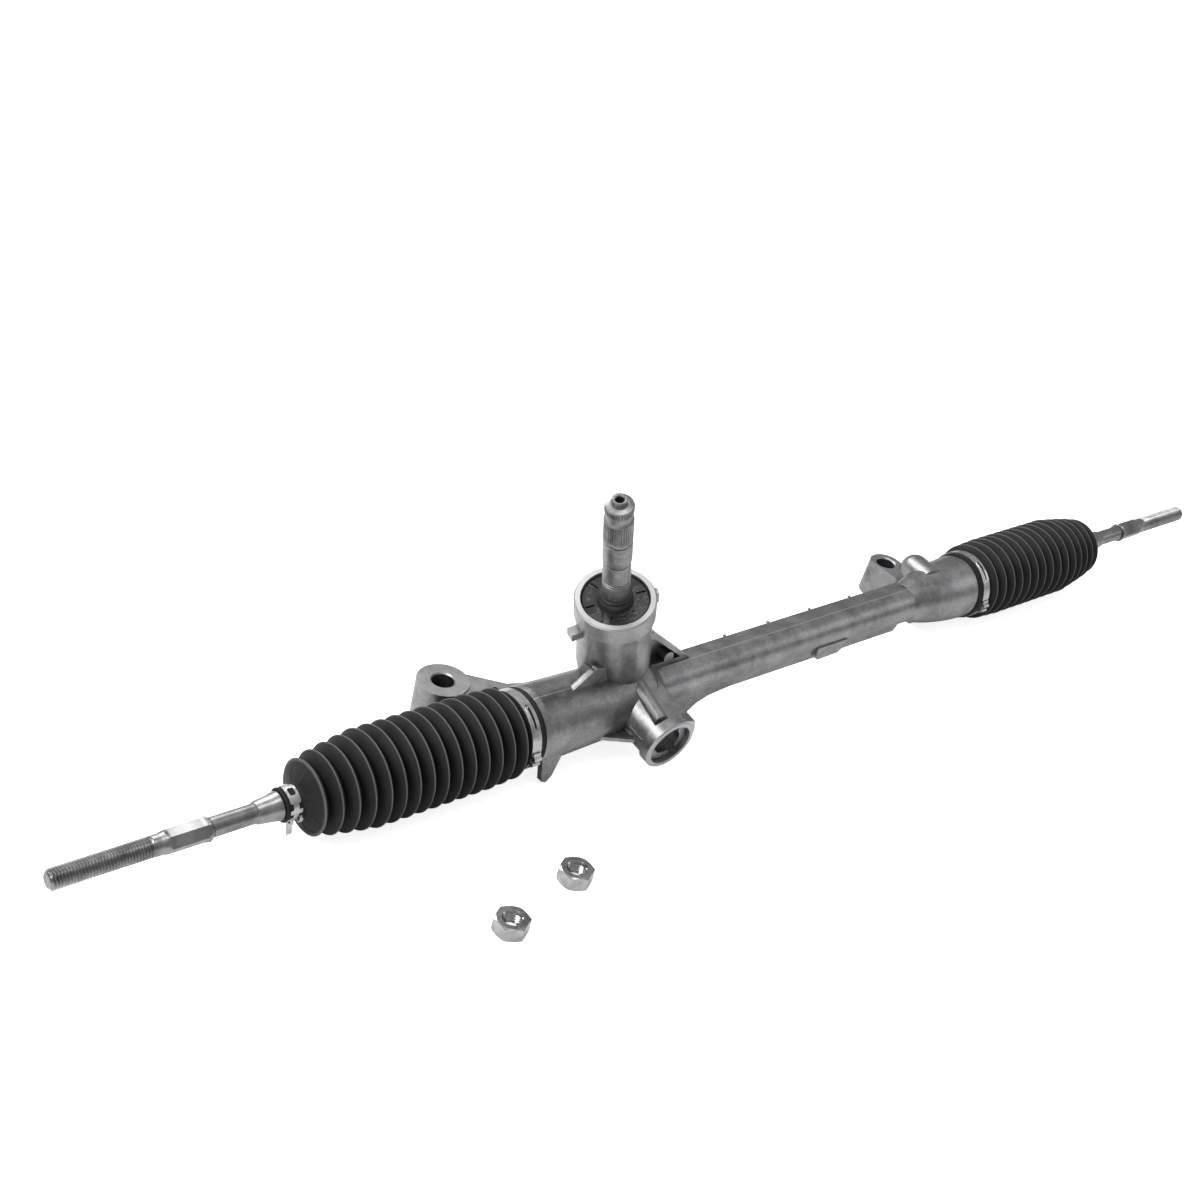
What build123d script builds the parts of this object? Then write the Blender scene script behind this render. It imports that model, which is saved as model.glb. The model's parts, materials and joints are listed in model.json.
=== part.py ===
from build123d import *
import os
from math import acos, atan, cos, degrees, pi, radians, sin, sqrt, tan

# Manual rack and pinion steering gear, in millimetres.
# The row frame has its origin midway between the two mounting holes, on the lugs' feet.
# +X runs along the rack towards the plain end, +Y away from the yoke side, +Z up the mounting bolts.

# Mounting
LUG_SPACING = 488.0        # hole to hole along X
LUG_TO_RACK = 57.0         # mounting line to rack axis, across
RACK_HEIGHT = 34.0         # rack axis above the lugs' feet
LUG_BORE_RADIUS = 8.25
LUG_RADIUS = 19.5
LUG_CHAMFER = 1.0
LEFT_LUG_TOP = 11.0        # height of the left lug's face above the rack axis
LEFT_WEB_BOTTOM = -14.0    # underside of the left lug's web, from the rack axis
RIGHT_LUG_TOP = -4.5       # height of the right lug's face above the rack axis
RIGHT_LUG_RADIUS = 14.5    # round back of the right lug, at its face
RIGHT_LUG_WALL = 11.5      # flat wall of the right lug, left of its hole
LUG_DRAFT = 4.6            # how far that wall leans out at the foot
BELLOWS_CLEARANCE = 1.6    # between a lug's web and the widest crest

# Housing along the rack, X of each station
HOUSING_LEFT = -214.0      # shoulder against the left bellows
HOUSING_RIGHT = 270.0      # shoulder against the right bellows
PINION_X = -116.6          # where the pinion crosses the rack
GEAR_BODY_RADIUS = 29.5
TUBE_RADIUS = 16.2
TUBE_EDGE = (12.8, 12.5)   # far upper edge of the tube's flat facet, across and up
FLASH_LINE = (-2.5, 16.0)  # near edge of that facet
LEFT_CUP_RADIUS = 29.0
RIGHT_CUP_RADIUS = 27.5
FLARE_START = 199.0
FLARE_BULGE = 2.7          # how far the flare's arc stands off its chord
PAD_X = 97.0               # clamp pad under the tube
NUB_START = -4.0
NUB_PITCH = 48.5
NUB_COUNT = 4
SPIGOT_RADIUS = 26.0       # seat of each bellows' large end
SPIGOT_LENGTH = 16.0
CUP_BORE_RADIUS = 21.0
TRAVEL = 70.0              # rack travel each way from straight ahead
STOP_CLEARANCE = 0.3

# Rack bar and its teeth
RACK_RADIUS = 11.0
RACK_BORE_RADIUS = 12.2
RACK_REACH = 44.0          # rack bar end past the housing shoulder, at rest
MODULE = 1.8               # normal module
PRESSURE_ANGLE = radians(20.0)
RACK_TOOTH_TIP = 8.4       # height of the tooth tips above the rack axis
RACK_GAPS_EACH_WAY = 14

# Pinion
PINION_TEETH = 8
PINION_SKEW = radians(19.6)   # lean of the pinion axis along the rack, also its helix angle
MESH_TILT = radians(8.3)      # turn of the pinion and yoke plane about the rack axis
PROFILE_SHIFT = 0.45
PINION_TIP_RADIUS = 10.0
BACKLASH = 0.1
PINION_TOOTH_HALF_LENGTH = 14.0
JOURNAL_RADIUS = 5.98
JOURNAL_END = -27.0
PINION_NECK_RADIUS = 8.6
SHAFT_RADIUS = 10.0
SHAFT_SHOULDER_RADIUS = 12.4
INPUT_RADIUS = 10.45       # splined end
INPUT_WAIST_RADIUS = 9.2
INPUT_DISC_RADIUS = 10.3
INPUT_NUB_RADIUS = 5.3
INPUT_HOLE_RADIUS = 3.0
GROOVE_DEPTH = 0.6         # of the small grooves round the input end
RIM_HEIGHT = 97.5          # tower rim along the pinion axis
INPUT_LENGTH = 103.2       # rim to the tip of the input end

# Pinion bearings, lock nut and seal, heights along the pinion axis
BEARING_DEPTH = 28.0       # rim to the bearing's seat
BEARING_WIDTH = 12.0
BEARING_OUTER_RADIUS = 21.0
BALL_PITCH_RADIUS = 15.5
BALL_RADIUS = 3.175
BALL_COUNT = 9
NEEDLE_RADIUS = 1.25
NEEDLE_COUNT = 12
NEEDLE_CUP_WALL = 0.7
NEEDLE_CUP_BOTTOM = -26.0
NEEDLE_CUP_TOP = -15.0
NUT_THREAD_RADIUS = 24.5
NUT_RECESS = 2.0           # nut's face below the rim
NUT_SLOTS = 6
SEAL_RADIUS = 13.2
SEAL_LIP = 8.5             # seal's lip above the nut's face
RUNNING_CLEARANCE = 0.05

# Tower and yoke boss, outside
TOWER_RADIUS = 27.3
TOWER_RIM_RADIUS = 29.6
TOWER_BORE_RADIUS = 12.0
YOKE_BOSS_RADIUS = 19.6
YOKE_RIM_RADIUS = 21.7
YOKE_RIM_WIDTH = 9.0
YOKE_RIB_RADIUS = 5.5
YOKE_BOSS_END = 57.0
YOKE_BORE_RADIUS = 17.0

# Yoke group, heights outwards from the rack axis
YOKE_RADIUS = 16.9
YOKE_START = 3.0
YOKE_END = 30.0
LINER_THICKNESS = 1.3
SPRING_RADIUS = 8.2
SPRING_WIRE_RADIUS = 1.3
SPRING_SEAT = 24.0
PLUG_START = 42.0
PLUG_FLOOR = 4.0
PLUG_END = 53.0
PLUG_HOLLOW_RADIUS = 11.0
PLUG_NOTCHES = 3
O_RING_RADIUS = 0.9

# Rack bush
BUSH_RADIUS = 14.0
BUSH_LENGTH = 20.0
SNAP_RING_THICKNESS = 1.5

# Ball joints and tie rods, distances outwards from the housing shoulder at rest
BALL_DISTANCE = 78.0
BALL_JOINT_RADIUS = 12.5
SEAT_THICKNESS = 2.5
SEAT_MOUTH = radians(50.0)     # half angle of the opening in the seat
SOCKET_RADIUS = 18.0
STUD_RADIUS = 8.0
STUD_LENGTH = 14.0
LOCK_WASHER_THICKNESS = 2.0
LOCK_WASHER_RADIUS = 17.0
TIP_DISTANCE = 354.0
THREAD_RADIUS = 7.0            # M14
THREAD_LENGTH = 67.5
ROD_FLAT_RADIUS = 8.6
ROD_ACROSS_FLATS = 14.0
ROD_FLAT_LENGTH = 31.5
ROD_NECK_RADIUS = 6.3
ROD_NECK_LENGTH = 6.0
SHANK_RADIUS = 6.7
SHANK_LENGTH = 33.0
ROD_CONE_RADIUS = 10.0
ROD_CONE_LENGTH = 17.0
BOOT_GROOVE_RADIUS = 8.0
BOOT_GROOVE_LENGTH = 14.5
INNER_ROD_RADIUS = 8.6
BALL_NECK_RADIUS = 7.0

# Bellows and clamps
CREST_COUNT = 15
CREST_PITCH = 11.34
LAST_CREST = 19.8              # crest nearest the housing, from its shoulder
CREST_RADIUS = 34.4
TIP_CREST_RADIUS = 26.4
GROWING_CRESTS = 5
CREST_DEPTH = 8.5
BELLOWS_WALL = 1.6
CUFF_RADIUS = 28.4
CUFF_GAP = 0.1
SMALL_CUFF_RADIUS = 11.0
SMALL_CUFF_LENGTH = 13.0
SOFT_CLEARANCE = 0.3
LARGE_CLAMP_START = 4.8
LARGE_CLAMP_WIDTH = 8.0
LARGE_BAND = 1.0
SMALL_CLAMP_WIDTH = 8.0
SMALL_BAND = 0.8

# Loose lock nuts for the tie rod threads
NUT_ACROSS_FLATS = 22.0
NUT_HEIGHT = 11.0
NUT_HOLE_RADIUS = 5.92
FRONT_NUT_PLACE = (-318.0, -191.6)
REAR_NUT_PLACE = (-250.0, -173.6)

# Worked out from the sizes above
TOOTH_PITCH = pi * MODULE
PITCH_RADIUS = PINION_TEETH * MODULE / (2 * cos(PINION_SKEW))
TRANSVERSE_ANGLE = atan(tan(PRESSURE_ANGLE) / cos(PINION_SKEW))
BASE_RADIUS = PITCH_RADIUS * cos(TRANSVERSE_ANGLE)
ROOT_RADIUS = PITCH_RADIUS - MODULE * (1.25 - PROFILE_SHIFT)
RACK_DATUM = RACK_TOOTH_TIP - MODULE
CENTRE_DISTANCE = RACK_DATUM + PITCH_RADIUS + PROFILE_SHIFT * MODULE
STOP_DEPTH = TRAVEL - RACK_REACH + STOP_CLEARANCE
FLOOR = RACK_HEIGHT - CREST_RADIUS
FOOT = -RACK_HEIGHT
WEB_START = CREST_RADIUS + BELLOWS_CLEARANCE
BEARING_BOTTOM = RIM_HEIGHT - BEARING_DEPTH
NUT_TOP = RIM_HEIGHT - NUT_RECESS
SEAL_TOP = NUT_TOP + SEAL_LIP
INPUT_TOP = RIM_HEIGHT + INPUT_LENGTH

RACK_POINT = Vector(0, -LUG_TO_RACK, RACK_HEIGHT)
ALONG = Vector(1, 0, 0)
TO_PINION = Vector(0, cos(MESH_TILT), sin(MESH_TILT))
ACROSS = Vector(0, -sin(MESH_TILT), cos(MESH_TILT))
PINION_AXIS = ACROSS * cos(PINION_SKEW) - ALONG * sin(PINION_SKEW)
MESH_POINT = RACK_POINT + ALONG * PINION_X

RACK_FRAME = Location(RACK_POINT)
RACK_LINE = Plane(origin=RACK_POINT, x_dir=TO_PINION, z_dir=ALONG).location
PINION_LINE = Plane(
    origin=MESH_POINT + TO_PINION * CENTRE_DISTANCE, x_dir=-TO_PINION, z_dir=PINION_AXIS
).location
YOKE_LINE = Plane(origin=MESH_POINT, x_dir=ALONG, z_dir=-TO_PINION).location


def outward_line(side):
    """Line from a housing shoulder outwards along the rack axis, with local X up."""
    if side == "left":
        return Plane(origin=RACK_POINT + ALONG * HOUSING_LEFT, x_dir=(0, 0, 1), z_dir=-ALONG).location
    return Plane(origin=RACK_POINT + ALONG * HOUSING_RIGHT, x_dir=(0, 0, 1), z_dir=ALONG).location


def turned(corners):
    """Solid of revolution about local Z from (radius, height) corners."""
    outline = Polyline(*[(radius, 0, height) for radius, height in corners], close=True)
    return revolve(make_face(outline), Axis.Z)


def ring(inner, outer, bottom, top):
    """Plain ring about local Z."""
    return turned([(inner, bottom), (outer, bottom), (outer, top), (inner, top)])


def rod(radius, bottom, top):
    """Plain cylinder about local Z."""
    return turned([(0, bottom), (radius, bottom), (radius, top), (0, top)])


def upright_plate(corners, near, far):
    """Plate from (x, z) corners, between two Y values."""
    outline = Polyline(*[(x, near, z) for x, z in corners], close=True)
    return extrude(make_face(outline), far - near, dir=(0, 1, 0))


def level_plate(corners, bottom, top):
    """Plate from (x, y) corners, between two Z values."""
    outline = Polyline(*[(x, y, bottom) for x, y in corners], close=True)
    return extrude(make_face(outline), top - bottom, dir=(0, 0, 1))


def cross_plate(corners, start, end):
    """Plate from (y, z) corners, between two X values."""
    outline = Polyline(*[(start, y, z) for y, z in corners], close=True)
    return extrude(make_face(outline), end - start, dir=(1, 0, 0))


def strut(start, end, radius):
    """Round bar between two points."""
    line = Vector(*end) - Vector(*start)
    return Plane(origin=start, z_dir=line).location * rod(radius, 0, line.length)


def upright_pin(x, y, radius, bottom, top):
    """Cylinder along Z at (x, y)."""
    return Pos(x, y, bottom) * rod(radius, 0, top - bottom)


# Housing


def housing_barrel():
    """Turned outside of the housing along the rack: gear body and tube, with both bellows seats."""
    return RACK_LINE * turned([
        (0, HOUSING_LEFT - SPIGOT_LENGTH),
        (SPIGOT_RADIUS, HOUSING_LEFT - SPIGOT_LENGTH),
        (SPIGOT_RADIUS, HOUSING_LEFT),
        (LEFT_CUP_RADIUS, HOUSING_LEFT),
        (GEAR_BODY_RADIUS, HOUSING_LEFT + 5),
        (GEAR_BODY_RADIUS - 2, PINION_X - 24),
        (GEAR_BODY_RADIUS - 2, PINION_X + 10),
        (TUBE_RADIUS, PINION_X + 26),
        (TUBE_RADIUS, HOUSING_RIGHT),
        (SPIGOT_RADIUS, HOUSING_RIGHT),
        (SPIGOT_RADIUS, HOUSING_RIGHT + SPIGOT_LENGTH),
        (0, HOUSING_RIGHT + SPIGOT_LENGTH),
    ])


def flare():
    """Trumpet from the tube to the right cup, one arc turned about the rack axis."""
    middle = (TUBE_RADIUS + RIGHT_CUP_RADIUS) / 2 + FLARE_BULGE
    arc = ThreePointArc(
        (TUBE_RADIUS, 0, FLARE_START),
        (middle, 0, (FLARE_START + HOUSING_RIGHT) / 2),
        (RIGHT_CUP_RADIUS, 0, HOUSING_RIGHT),
    )
    back = Polyline(arc @ 1, (0, 0, HOUSING_RIGHT), (0, 0, FLARE_START), arc @ 0)
    return RACK_LINE * revolve(make_face([arc, back]), Axis.Z)


def tube_facet():
    """Flat upper facet that the mould's parting line leaves along the tube."""
    return cross_plate([FLASH_LINE, TUBE_EDGE, (TUBE_RADIUS, 3), (0, 0)], PINION_X + 20, FLARE_START + 12)


def above_facet():
    """Round of the tube that stands over the flat facet."""
    near, far = FLASH_LINE, TUBE_EDGE
    above = 2 * TUBE_RADIUS
    return cross_plate([near, far, (far[0] + 2, above), (near[0], above)], PINION_X + 32, FLARE_START)


def pinion_tower():
    """Outside of the tower, from the blind lower bearing boss to the machined rim."""
    return PINION_LINE * turned([
        (0, JOURNAL_END - 5.5),
        (12.0, JOURNAL_END - 5.5),
        (14.0, JOURNAL_END - 3),
        (15.5, -6),
        (19.0, 5),
        (23.5, 13),
        (TOWER_RADIUS - 1, 21),
        (TOWER_RADIUS, 29),
        (TOWER_RADIUS, RIM_HEIGHT - 25),
        (TOWER_RADIUS + 0.7, RIM_HEIGHT - 24.5),
        (TOWER_RADIUS + 0.9, RIM_HEIGHT - 16),
        (TOWER_RIM_RADIUS, RIM_HEIGHT - 15.5),
        (TOWER_RIM_RADIUS, RIM_HEIGHT - 1),
        (TOWER_RIM_RADIUS - 1, RIM_HEIGHT),
        (0, RIM_HEIGHT),
    ])


def yoke_boss():
    """Outside of the yoke boss: thick rim, leaning half-round rib and squared upper corner."""
    radius = YOKE_BOSS_RADIUS
    rim_bottom = YOKE_BOSS_END - YOKE_RIM_WIDTH
    boss = turned([
        (0, 0),
        (radius, 0),
        (radius, rim_bottom - 1),
        (YOKE_RIM_RADIUS, rim_bottom),
        (YOKE_RIM_RADIUS, YOKE_BOSS_END - 1),
        (YOKE_RIM_RADIUS - 1, YOKE_BOSS_END),
        (0, YOKE_BOSS_END),
    ])
    rib = strut((-2, radius + 1, 5), (-9, radius - 1, rim_bottom - 1), YOKE_RIB_RADIUS)
    corner = level_plate([(0, 0), (radius - 3.5, 0), (radius - 3.5, radius), (0, radius)], 5, rim_bottom)
    rim_corner = level_plate([
        (0, 0),
        (YOKE_RIM_RADIUS - 0.5, 0),
        (YOKE_RIM_RADIUS - 0.5, 8),
        (YOKE_RIM_RADIUS - 4.5, YOKE_RIM_RADIUS - 3.5),
        (8, YOKE_RIM_RADIUS - 0.5),
        (0, YOKE_RIM_RADIUS - 0.5),
    ], rim_bottom, YOKE_BOSS_END - 0.8)
    ridges = [
        Rotation(0, 0, 191) * Pos(radius, 0, rim_bottom - 17.5) * Box(2, 1.6, 10),
        Rotation(0, 0, 176) * Pos(radius, 0, rim_bottom - 10) * Box(2, 1.6, 16),
    ]
    return YOKE_LINE * (boss + rib + corner + rim_corner + ridges)


def left_lug():
    """Tall round lug beside the left bellows, on a web from the gear body's end."""
    x = -LUG_SPACING / 2
    boss = upright_pin(x, LUG_TO_RACK, LUG_RADIUS, FOOT, LEFT_LUG_TOP)
    web = level_plate([
        (x - 4, LUG_TO_RACK - 15),
        (x + 10, WEB_START),
        (HOUSING_LEFT + 2, WEB_START),
        (HOUSING_LEFT + 2, 0),
        (HOUSING_LEFT + 42, 0),
        (HOUSING_LEFT + 34, 29),
        (HOUSING_LEFT + 12, 36),
        (x + 19, LUG_TO_RACK + 2),
    ], LEFT_WEB_BOTTOM, LEFT_LUG_TOP - 1.2)
    return RACK_FRAME * (boss + web)


def right_lug():
    """Right lug: leaning flat wall on its left, round behind, joined to the flare."""
    x = LUG_SPACING / 2
    wall = x - RIGHT_LUG_WALL
    foot_wall = wall - LUG_DRAFT
    outside = wall - 2 * LUG_RADIUS
    boss = Pos(x, LUG_TO_RACK, 0) * turned([
        (0, FOOT), (RIGHT_LUG_RADIUS + 2, FOOT), (RIGHT_LUG_RADIUS, RIGHT_LUG_TOP), (0, RIGHT_LUG_TOP),
    ])
    block = level_plate([
        (foot_wall, LUG_TO_RACK + 4),
        (foot_wall, WEB_START + 6),
        (HOUSING_RIGHT - 38, 6),
        (HOUSING_RIGHT - 12, 6),
        (HOUSING_RIGHT - 12, WEB_START),
        (x + RIGHT_LUG_RADIUS, WEB_START + 1),
        (x + RIGHT_LUG_RADIUS, LUG_TO_RACK),
    ], FOOT, RIGHT_LUG_TOP)
    lean = upright_plate([
        (wall, RIGHT_LUG_TOP), (foot_wall, FOOT), (outside, FOOT), (outside, RIGHT_LUG_TOP),
    ], WEB_START - 4, LUG_TO_RACK + LUG_RADIUS)
    return RACK_FRAME * (boss + block - lean)


def flare_rib():
    """Thick round rib that rises from the flare beside the right lug."""
    start = (HOUSING_RIGHT - 38, -2, 13)
    end = (HOUSING_RIGHT - 30, 24, 10)
    radius = 13.0
    return RACK_FRAME * (strut(start, end, radius) + Pos(*end) * Sphere(radius))


def under_rail():
    """Rib under the tube that widens into a curved fin at the yoke boss."""
    fin = [
        (FLARE_START - 3, -10),
        (FLARE_START - 11, -20.5),
        (PINION_X + 108, -20.5),
        (PINION_X + 87, -22.5),
        (PINION_X + 75, -26.5),
        (PINION_X + 66, -33),
        (PINION_X + 14, -33),
        (PINION_X + 14, -10),
    ]
    return RACK_FRAME * upright_plate(fin, -8.5, -3.5)


def tower_ribs():
    """Ribs round the tower's foot: the framed triangle with its stub, and the gusset with its spur."""
    x = PINION_X
    triangle = [(x, 54), (x + 17, 50), (x + 24, 45), (x + 62, 15.5), (x + 60, 8), (x, 8)]
    pocket = [(x + 5, 46), (x + 18, 44.5), (x + 52, 19), (x + 5, 19)]
    framed = upright_plate(triangle, 0, 14) - upright_plate(pocket, -1, 9)
    stub = strut((x + 39, 0, 21.5), (x + 39, 12, 21.5), 4.8)
    gusset = upright_plate([(x - 65, 26), (x - 44, 41), (x - 28, 38.5), (x - 25, 20), (x - 65, 20)], -8.5, -4)
    spur = cross_plate([(-8, 20), (-8, 40.5), (2, 39), (8, 20)], x - 47, x - 43.5)
    return RACK_FRAME * (framed + stub + gusset + spur)


def small_bosses():
    """Pad under the tube, tab under the gear body, peg and nub on the tower, ejector nubs."""
    pad = upright_plate([
        (PAD_X - 18, -3), (PAD_X + 18, -3), (PAD_X + 13, -11), (PAD_X + 9, -14), (PAD_X - 15, -14.5),
        (PAD_X - 18, -10),
    ], -17.5, -9.5)
    x = HOUSING_LEFT
    tab = upright_plate([(x + 1, -10), (x + 20, -10), (x + 14, -29), (x + 9.5, -34), (x + 5, -32)], -27, -22)
    across, up = TUBE_EDGE
    nubs = [
        Pos(NUB_START + k * NUB_PITCH, across - 1.3, up - 1.3) * Rotation(-45, 0, 0) * rod(1.3, 0, 3.4)
        for k in range(NUB_COUNT)
    ]
    loose = RACK_FRAME * (pad + tab + nubs)
    peg = Rotation(0, 0, -99) * Pos(TOWER_RADIUS + 2.7, 0, RIM_HEIGHT - 22.5) * Box(12, 8, 7)
    nub = Rotation(0, 0, 70) * Pos(TOWER_RIM_RADIUS, 0, RIM_HEIGHT - 7) * Box(4, 6, 10)
    return loose + PINION_LINE * (peg + nub)


def yoke_flange():
    """Level web between the gear body and the yoke boss, on the left."""
    x = PINION_X
    corners = [(x - 44, -10), (x - 43, -25), (x - 20, -39), (x, -39), (x, -10)]
    return RACK_FRAME * level_plate(corners, -12, -9)


def rack_bores():
    """Bores along the rack axis: clearance for the bar, bush seat and the two cups."""
    left_cup = outward_line("left") * rod(CUP_BORE_RADIUS, -STOP_DEPTH, SPIGOT_LENGTH + 1)
    right_cup = outward_line("right") * rod(CUP_BORE_RADIUS, -STOP_DEPTH, SPIGOT_LENGTH + 1)
    bar = RACK_LINE * rod(RACK_BORE_RADIUS, HOUSING_LEFT - SPIGOT_LENGTH, HOUSING_RIGHT)
    bush = outward_line("right") * rod(BUSH_RADIUS, bush_bottom(), 0)
    snap_top = snap_bottom() + SNAP_RING_THICKNESS
    groove = outward_line("right") * rod(BUSH_RADIUS + 1.5, snap_bottom(), snap_top)
    return bar + left_cup + right_cup + bush + groove


def snap_bottom():
    """Inner face of the bush's snap ring, from the right shoulder."""
    return -STOP_DEPTH - 2.5 - SNAP_RING_THICKNESS


def bush_bottom():
    """Inner face of the bush, from the right shoulder."""
    return snap_bottom() - BUSH_LENGTH


def pinion_bores():
    """Stepped bore down the tower, blind at the lower bearing."""
    cup_radius = needle_cup_radius()
    bearing_top = BEARING_BOTTOM + BEARING_WIDTH
    return PINION_LINE * turned([
        (0, JOURNAL_END - 1),
        (cup_radius, JOURNAL_END - 1),
        (cup_radius, NEEDLE_CUP_TOP),
        (TOWER_BORE_RADIUS, NEEDLE_CUP_TOP),
        (TOWER_BORE_RADIUS, BEARING_BOTTOM - 6),
        (BEARING_OUTER_RADIUS - 4, BEARING_BOTTOM - 6),
        (BEARING_OUTER_RADIUS - 4, BEARING_BOTTOM),
        (BEARING_OUTER_RADIUS, BEARING_BOTTOM),
        (BEARING_OUTER_RADIUS, bearing_top),
        (NUT_THREAD_RADIUS, bearing_top),
        (NUT_THREAD_RADIUS, RIM_HEIGHT - 1.5),
        (NUT_THREAD_RADIUS + 1, RIM_HEIGHT + 1),
        (0, RIM_HEIGHT + 1),
    ])


def yoke_bore():
    """Bore for the yoke with its threaded mouth."""
    return YOKE_LINE * turned([
        (0, 0),
        (YOKE_BORE_RADIUS, 0),
        (YOKE_BORE_RADIUS, PLUG_START - 1),
        (YOKE_BORE_RADIUS + 0.6, PLUG_START - 1),
        (YOKE_BORE_RADIUS + 0.6, YOKE_BOSS_END + 1),
        (0, YOKE_BOSS_END + 1),
    ])


def lug_bore(x, top):
    """Mounting hole with its chamfered mouth."""
    return RACK_FRAME * Pos(x, LUG_TO_RACK, 0) * turned([
        (0, FOOT - 1),
        (LUG_BORE_RADIUS, FOOT - 1),
        (LUG_BORE_RADIUS, top - LUG_CHAMFER),
        (LUG_BORE_RADIUS + LUG_CHAMFER + 1, top + 1),
        (0, top + 1),
    ])


def housing():
    """Aluminium casting with its bores."""
    tube = housing_barrel() + flare() + RACK_FRAME * tube_facet() - RACK_FRAME * above_facet()
    outside = tube + pinion_tower() + yoke_boss() + left_lug() + right_lug() + flare_rib()
    outside = outside + under_rail() + tower_ribs() + yoke_flange() + small_bosses()
    half = LUG_SPACING / 2
    return (
        outside
        - rack_bores()
        - pinion_bores()
        - yoke_bore()
        - lug_bore(-half, LEFT_LUG_TOP)
        - lug_bore(half, RIGHT_LUG_TOP)
    )


# Rack bar


def rack_tooth_cutter():
    """Comb that mills the rack's tooth gaps straight across the bar."""
    shallow = TOOTH_PITCH / 4 + MODULE * tan(PRESSURE_ANGLE)
    deep = TOOTH_PITCH / 4 - 1.25 * MODULE * tan(PRESSURE_ANGLE)
    root = RACK_DATUM - 1.25 * MODULE
    above = RACK_RADIUS + 2
    first = PINION_X - (RACK_GAPS_EACH_WAY + 0.5) * TOOTH_PITCH
    last = PINION_X + (RACK_GAPS_EACH_WAY + 0.5) * TOOTH_PITCH
    corners = [(above, first - 4), (RACK_TOOTH_TIP, first)]
    for gap in range(-RACK_GAPS_EACH_WAY, RACK_GAPS_EACH_WAY + 1):
        middle = PINION_X + gap * TOOTH_PITCH
        corners.append((RACK_TOOTH_TIP, middle - shallow))
        corners.append((root, middle - deep))
        corners.append((root, middle + deep))
        corners.append((RACK_TOOTH_TIP, middle + shallow))
    corners.append((RACK_TOOTH_TIP, last))
    corners.append((above, last + 4))
    outline = Polyline(*[(height, 0, x) for height, x in corners], close=True)
    return extrude(make_face(outline), RACK_RADIUS + 1, both=True)


def rack_bar():
    """Round bar with milled teeth and a threaded hole in each end."""
    start = HOUSING_LEFT - RACK_REACH
    end = HOUSING_RIGHT + RACK_REACH
    hole = STUD_RADIUS + RUNNING_CLEARANCE
    bar = turned([
        (0, start),
        (RACK_RADIUS - 1, start),
        (RACK_RADIUS, start + 1),
        (RACK_RADIUS, end - 1),
        (RACK_RADIUS - 1, end),
        (0, end),
    ])
    holes = rod(hole, start - 1, start + STUD_LENGTH + 2) + rod(hole, end - STUD_LENGTH - 2, end + 1)
    return RACK_LINE * (bar - rack_tooth_cutter() - holes)


def rack_bush():
    """Plastic bush that carries the rack bar's plain end."""
    inner = RACK_RADIUS + RUNNING_CLEARANCE
    bush = ring(inner, BUSH_RADIUS, bush_bottom(), snap_bottom())
    slot = Pos(BUSH_RADIUS, 0, bush_bottom() + BUSH_LENGTH / 2) * Box(2 * BUSH_RADIUS, 1.2, BUSH_LENGTH + 1)
    return outward_line("right") * (bush - slot)


def bush_snap_ring():
    """Split ring that keeps the bush in its seat."""
    full = ring(RACK_RADIUS + 1, BUSH_RADIUS + 1.4, snap_bottom(), snap_bottom() + SNAP_RING_THICKNESS)
    gap = Pos(BUSH_RADIUS, 0, snap_bottom()) * Box(12, 5, 4 * SNAP_RING_THICKNESS)
    return outward_line("right") * (full - gap)


# Pinion


def involute(angle):
    return tan(angle) - angle


def tooth_half_angle(radius):
    """Half the angle that a pinion tooth covers at a radius."""
    thickness = (TOOTH_PITCH / 2 + 2 * PROFILE_SHIFT * MODULE * tan(PRESSURE_ANGLE)) / cos(PINION_SKEW)
    at_pitch = (thickness - BACKLASH) / (2 * PITCH_RADIUS)
    at_radius = acos(min(1.0, BASE_RADIUS / radius))
    return at_pitch + involute(TRANSVERSE_ANGLE) - involute(at_radius)


def on_circle(radius, angle):
    return (radius * cos(angle), radius * sin(angle))


def pinion_section():
    """Transverse section of the toothed part: involute flanks between root and tip arcs."""
    steps = 4
    radii = [BASE_RADIUS + (PINION_TIP_RADIUS - BASE_RADIUS) * step / steps for step in range(steps + 1)]
    foot = tooth_half_angle(BASE_RADIUS)
    tip = tooth_half_angle(PINION_TIP_RADIUS)
    spacing = 2 * pi / PINION_TEETH
    edges = []
    for tooth in range(PINION_TEETH):
        middle = tooth * spacing
        rise = [on_circle(radius, middle - tooth_half_angle(radius)) for radius in radii]
        fall = [on_circle(radius, middle + tooth_half_angle(radius)) for radius in reversed(radii)]
        edges.append(Line(on_circle(ROOT_RADIUS, middle - foot), rise[0]))
        edges.append(Spline(*rise))
        edges.append(ThreePointArc(rise[-1], on_circle(PINION_TIP_RADIUS, middle), fall[0]))
        edges.append(Spline(*fall))
        edges.append(Line(fall[-1], on_circle(ROOT_RADIUS, middle + foot)))
        edges.append(ThreePointArc(
            on_circle(ROOT_RADIUS, middle + foot),
            on_circle(ROOT_RADIUS, middle + spacing / 2),
            on_circle(ROOT_RADIUS, middle + spacing - foot),
        ))
    return make_face(edges)


def helical_teeth():
    """Toothed part of the pinion, one tooth facing the rack at mid length."""
    half = PINION_TOOTH_HALF_LENGTH
    twist = degrees(half * tan(PINION_SKEW) / PITCH_RADIUS)
    section = Pos(0, 0, -half) * Rotation(0, 0, -twist) * pinion_section()
    return Solid.extrude_linear_with_rotation(section.face(), (0, 0, -half), (0, 0, 2 * half), 2 * twist)


def round_groove(radius, bottom, top):
    """Corners of a small groove round a shaft."""
    floor = radius - GROOVE_DEPTH
    return [(radius, bottom), (floor, bottom + 0.2), (floor, top - 0.2), (radius, top)]


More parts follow.
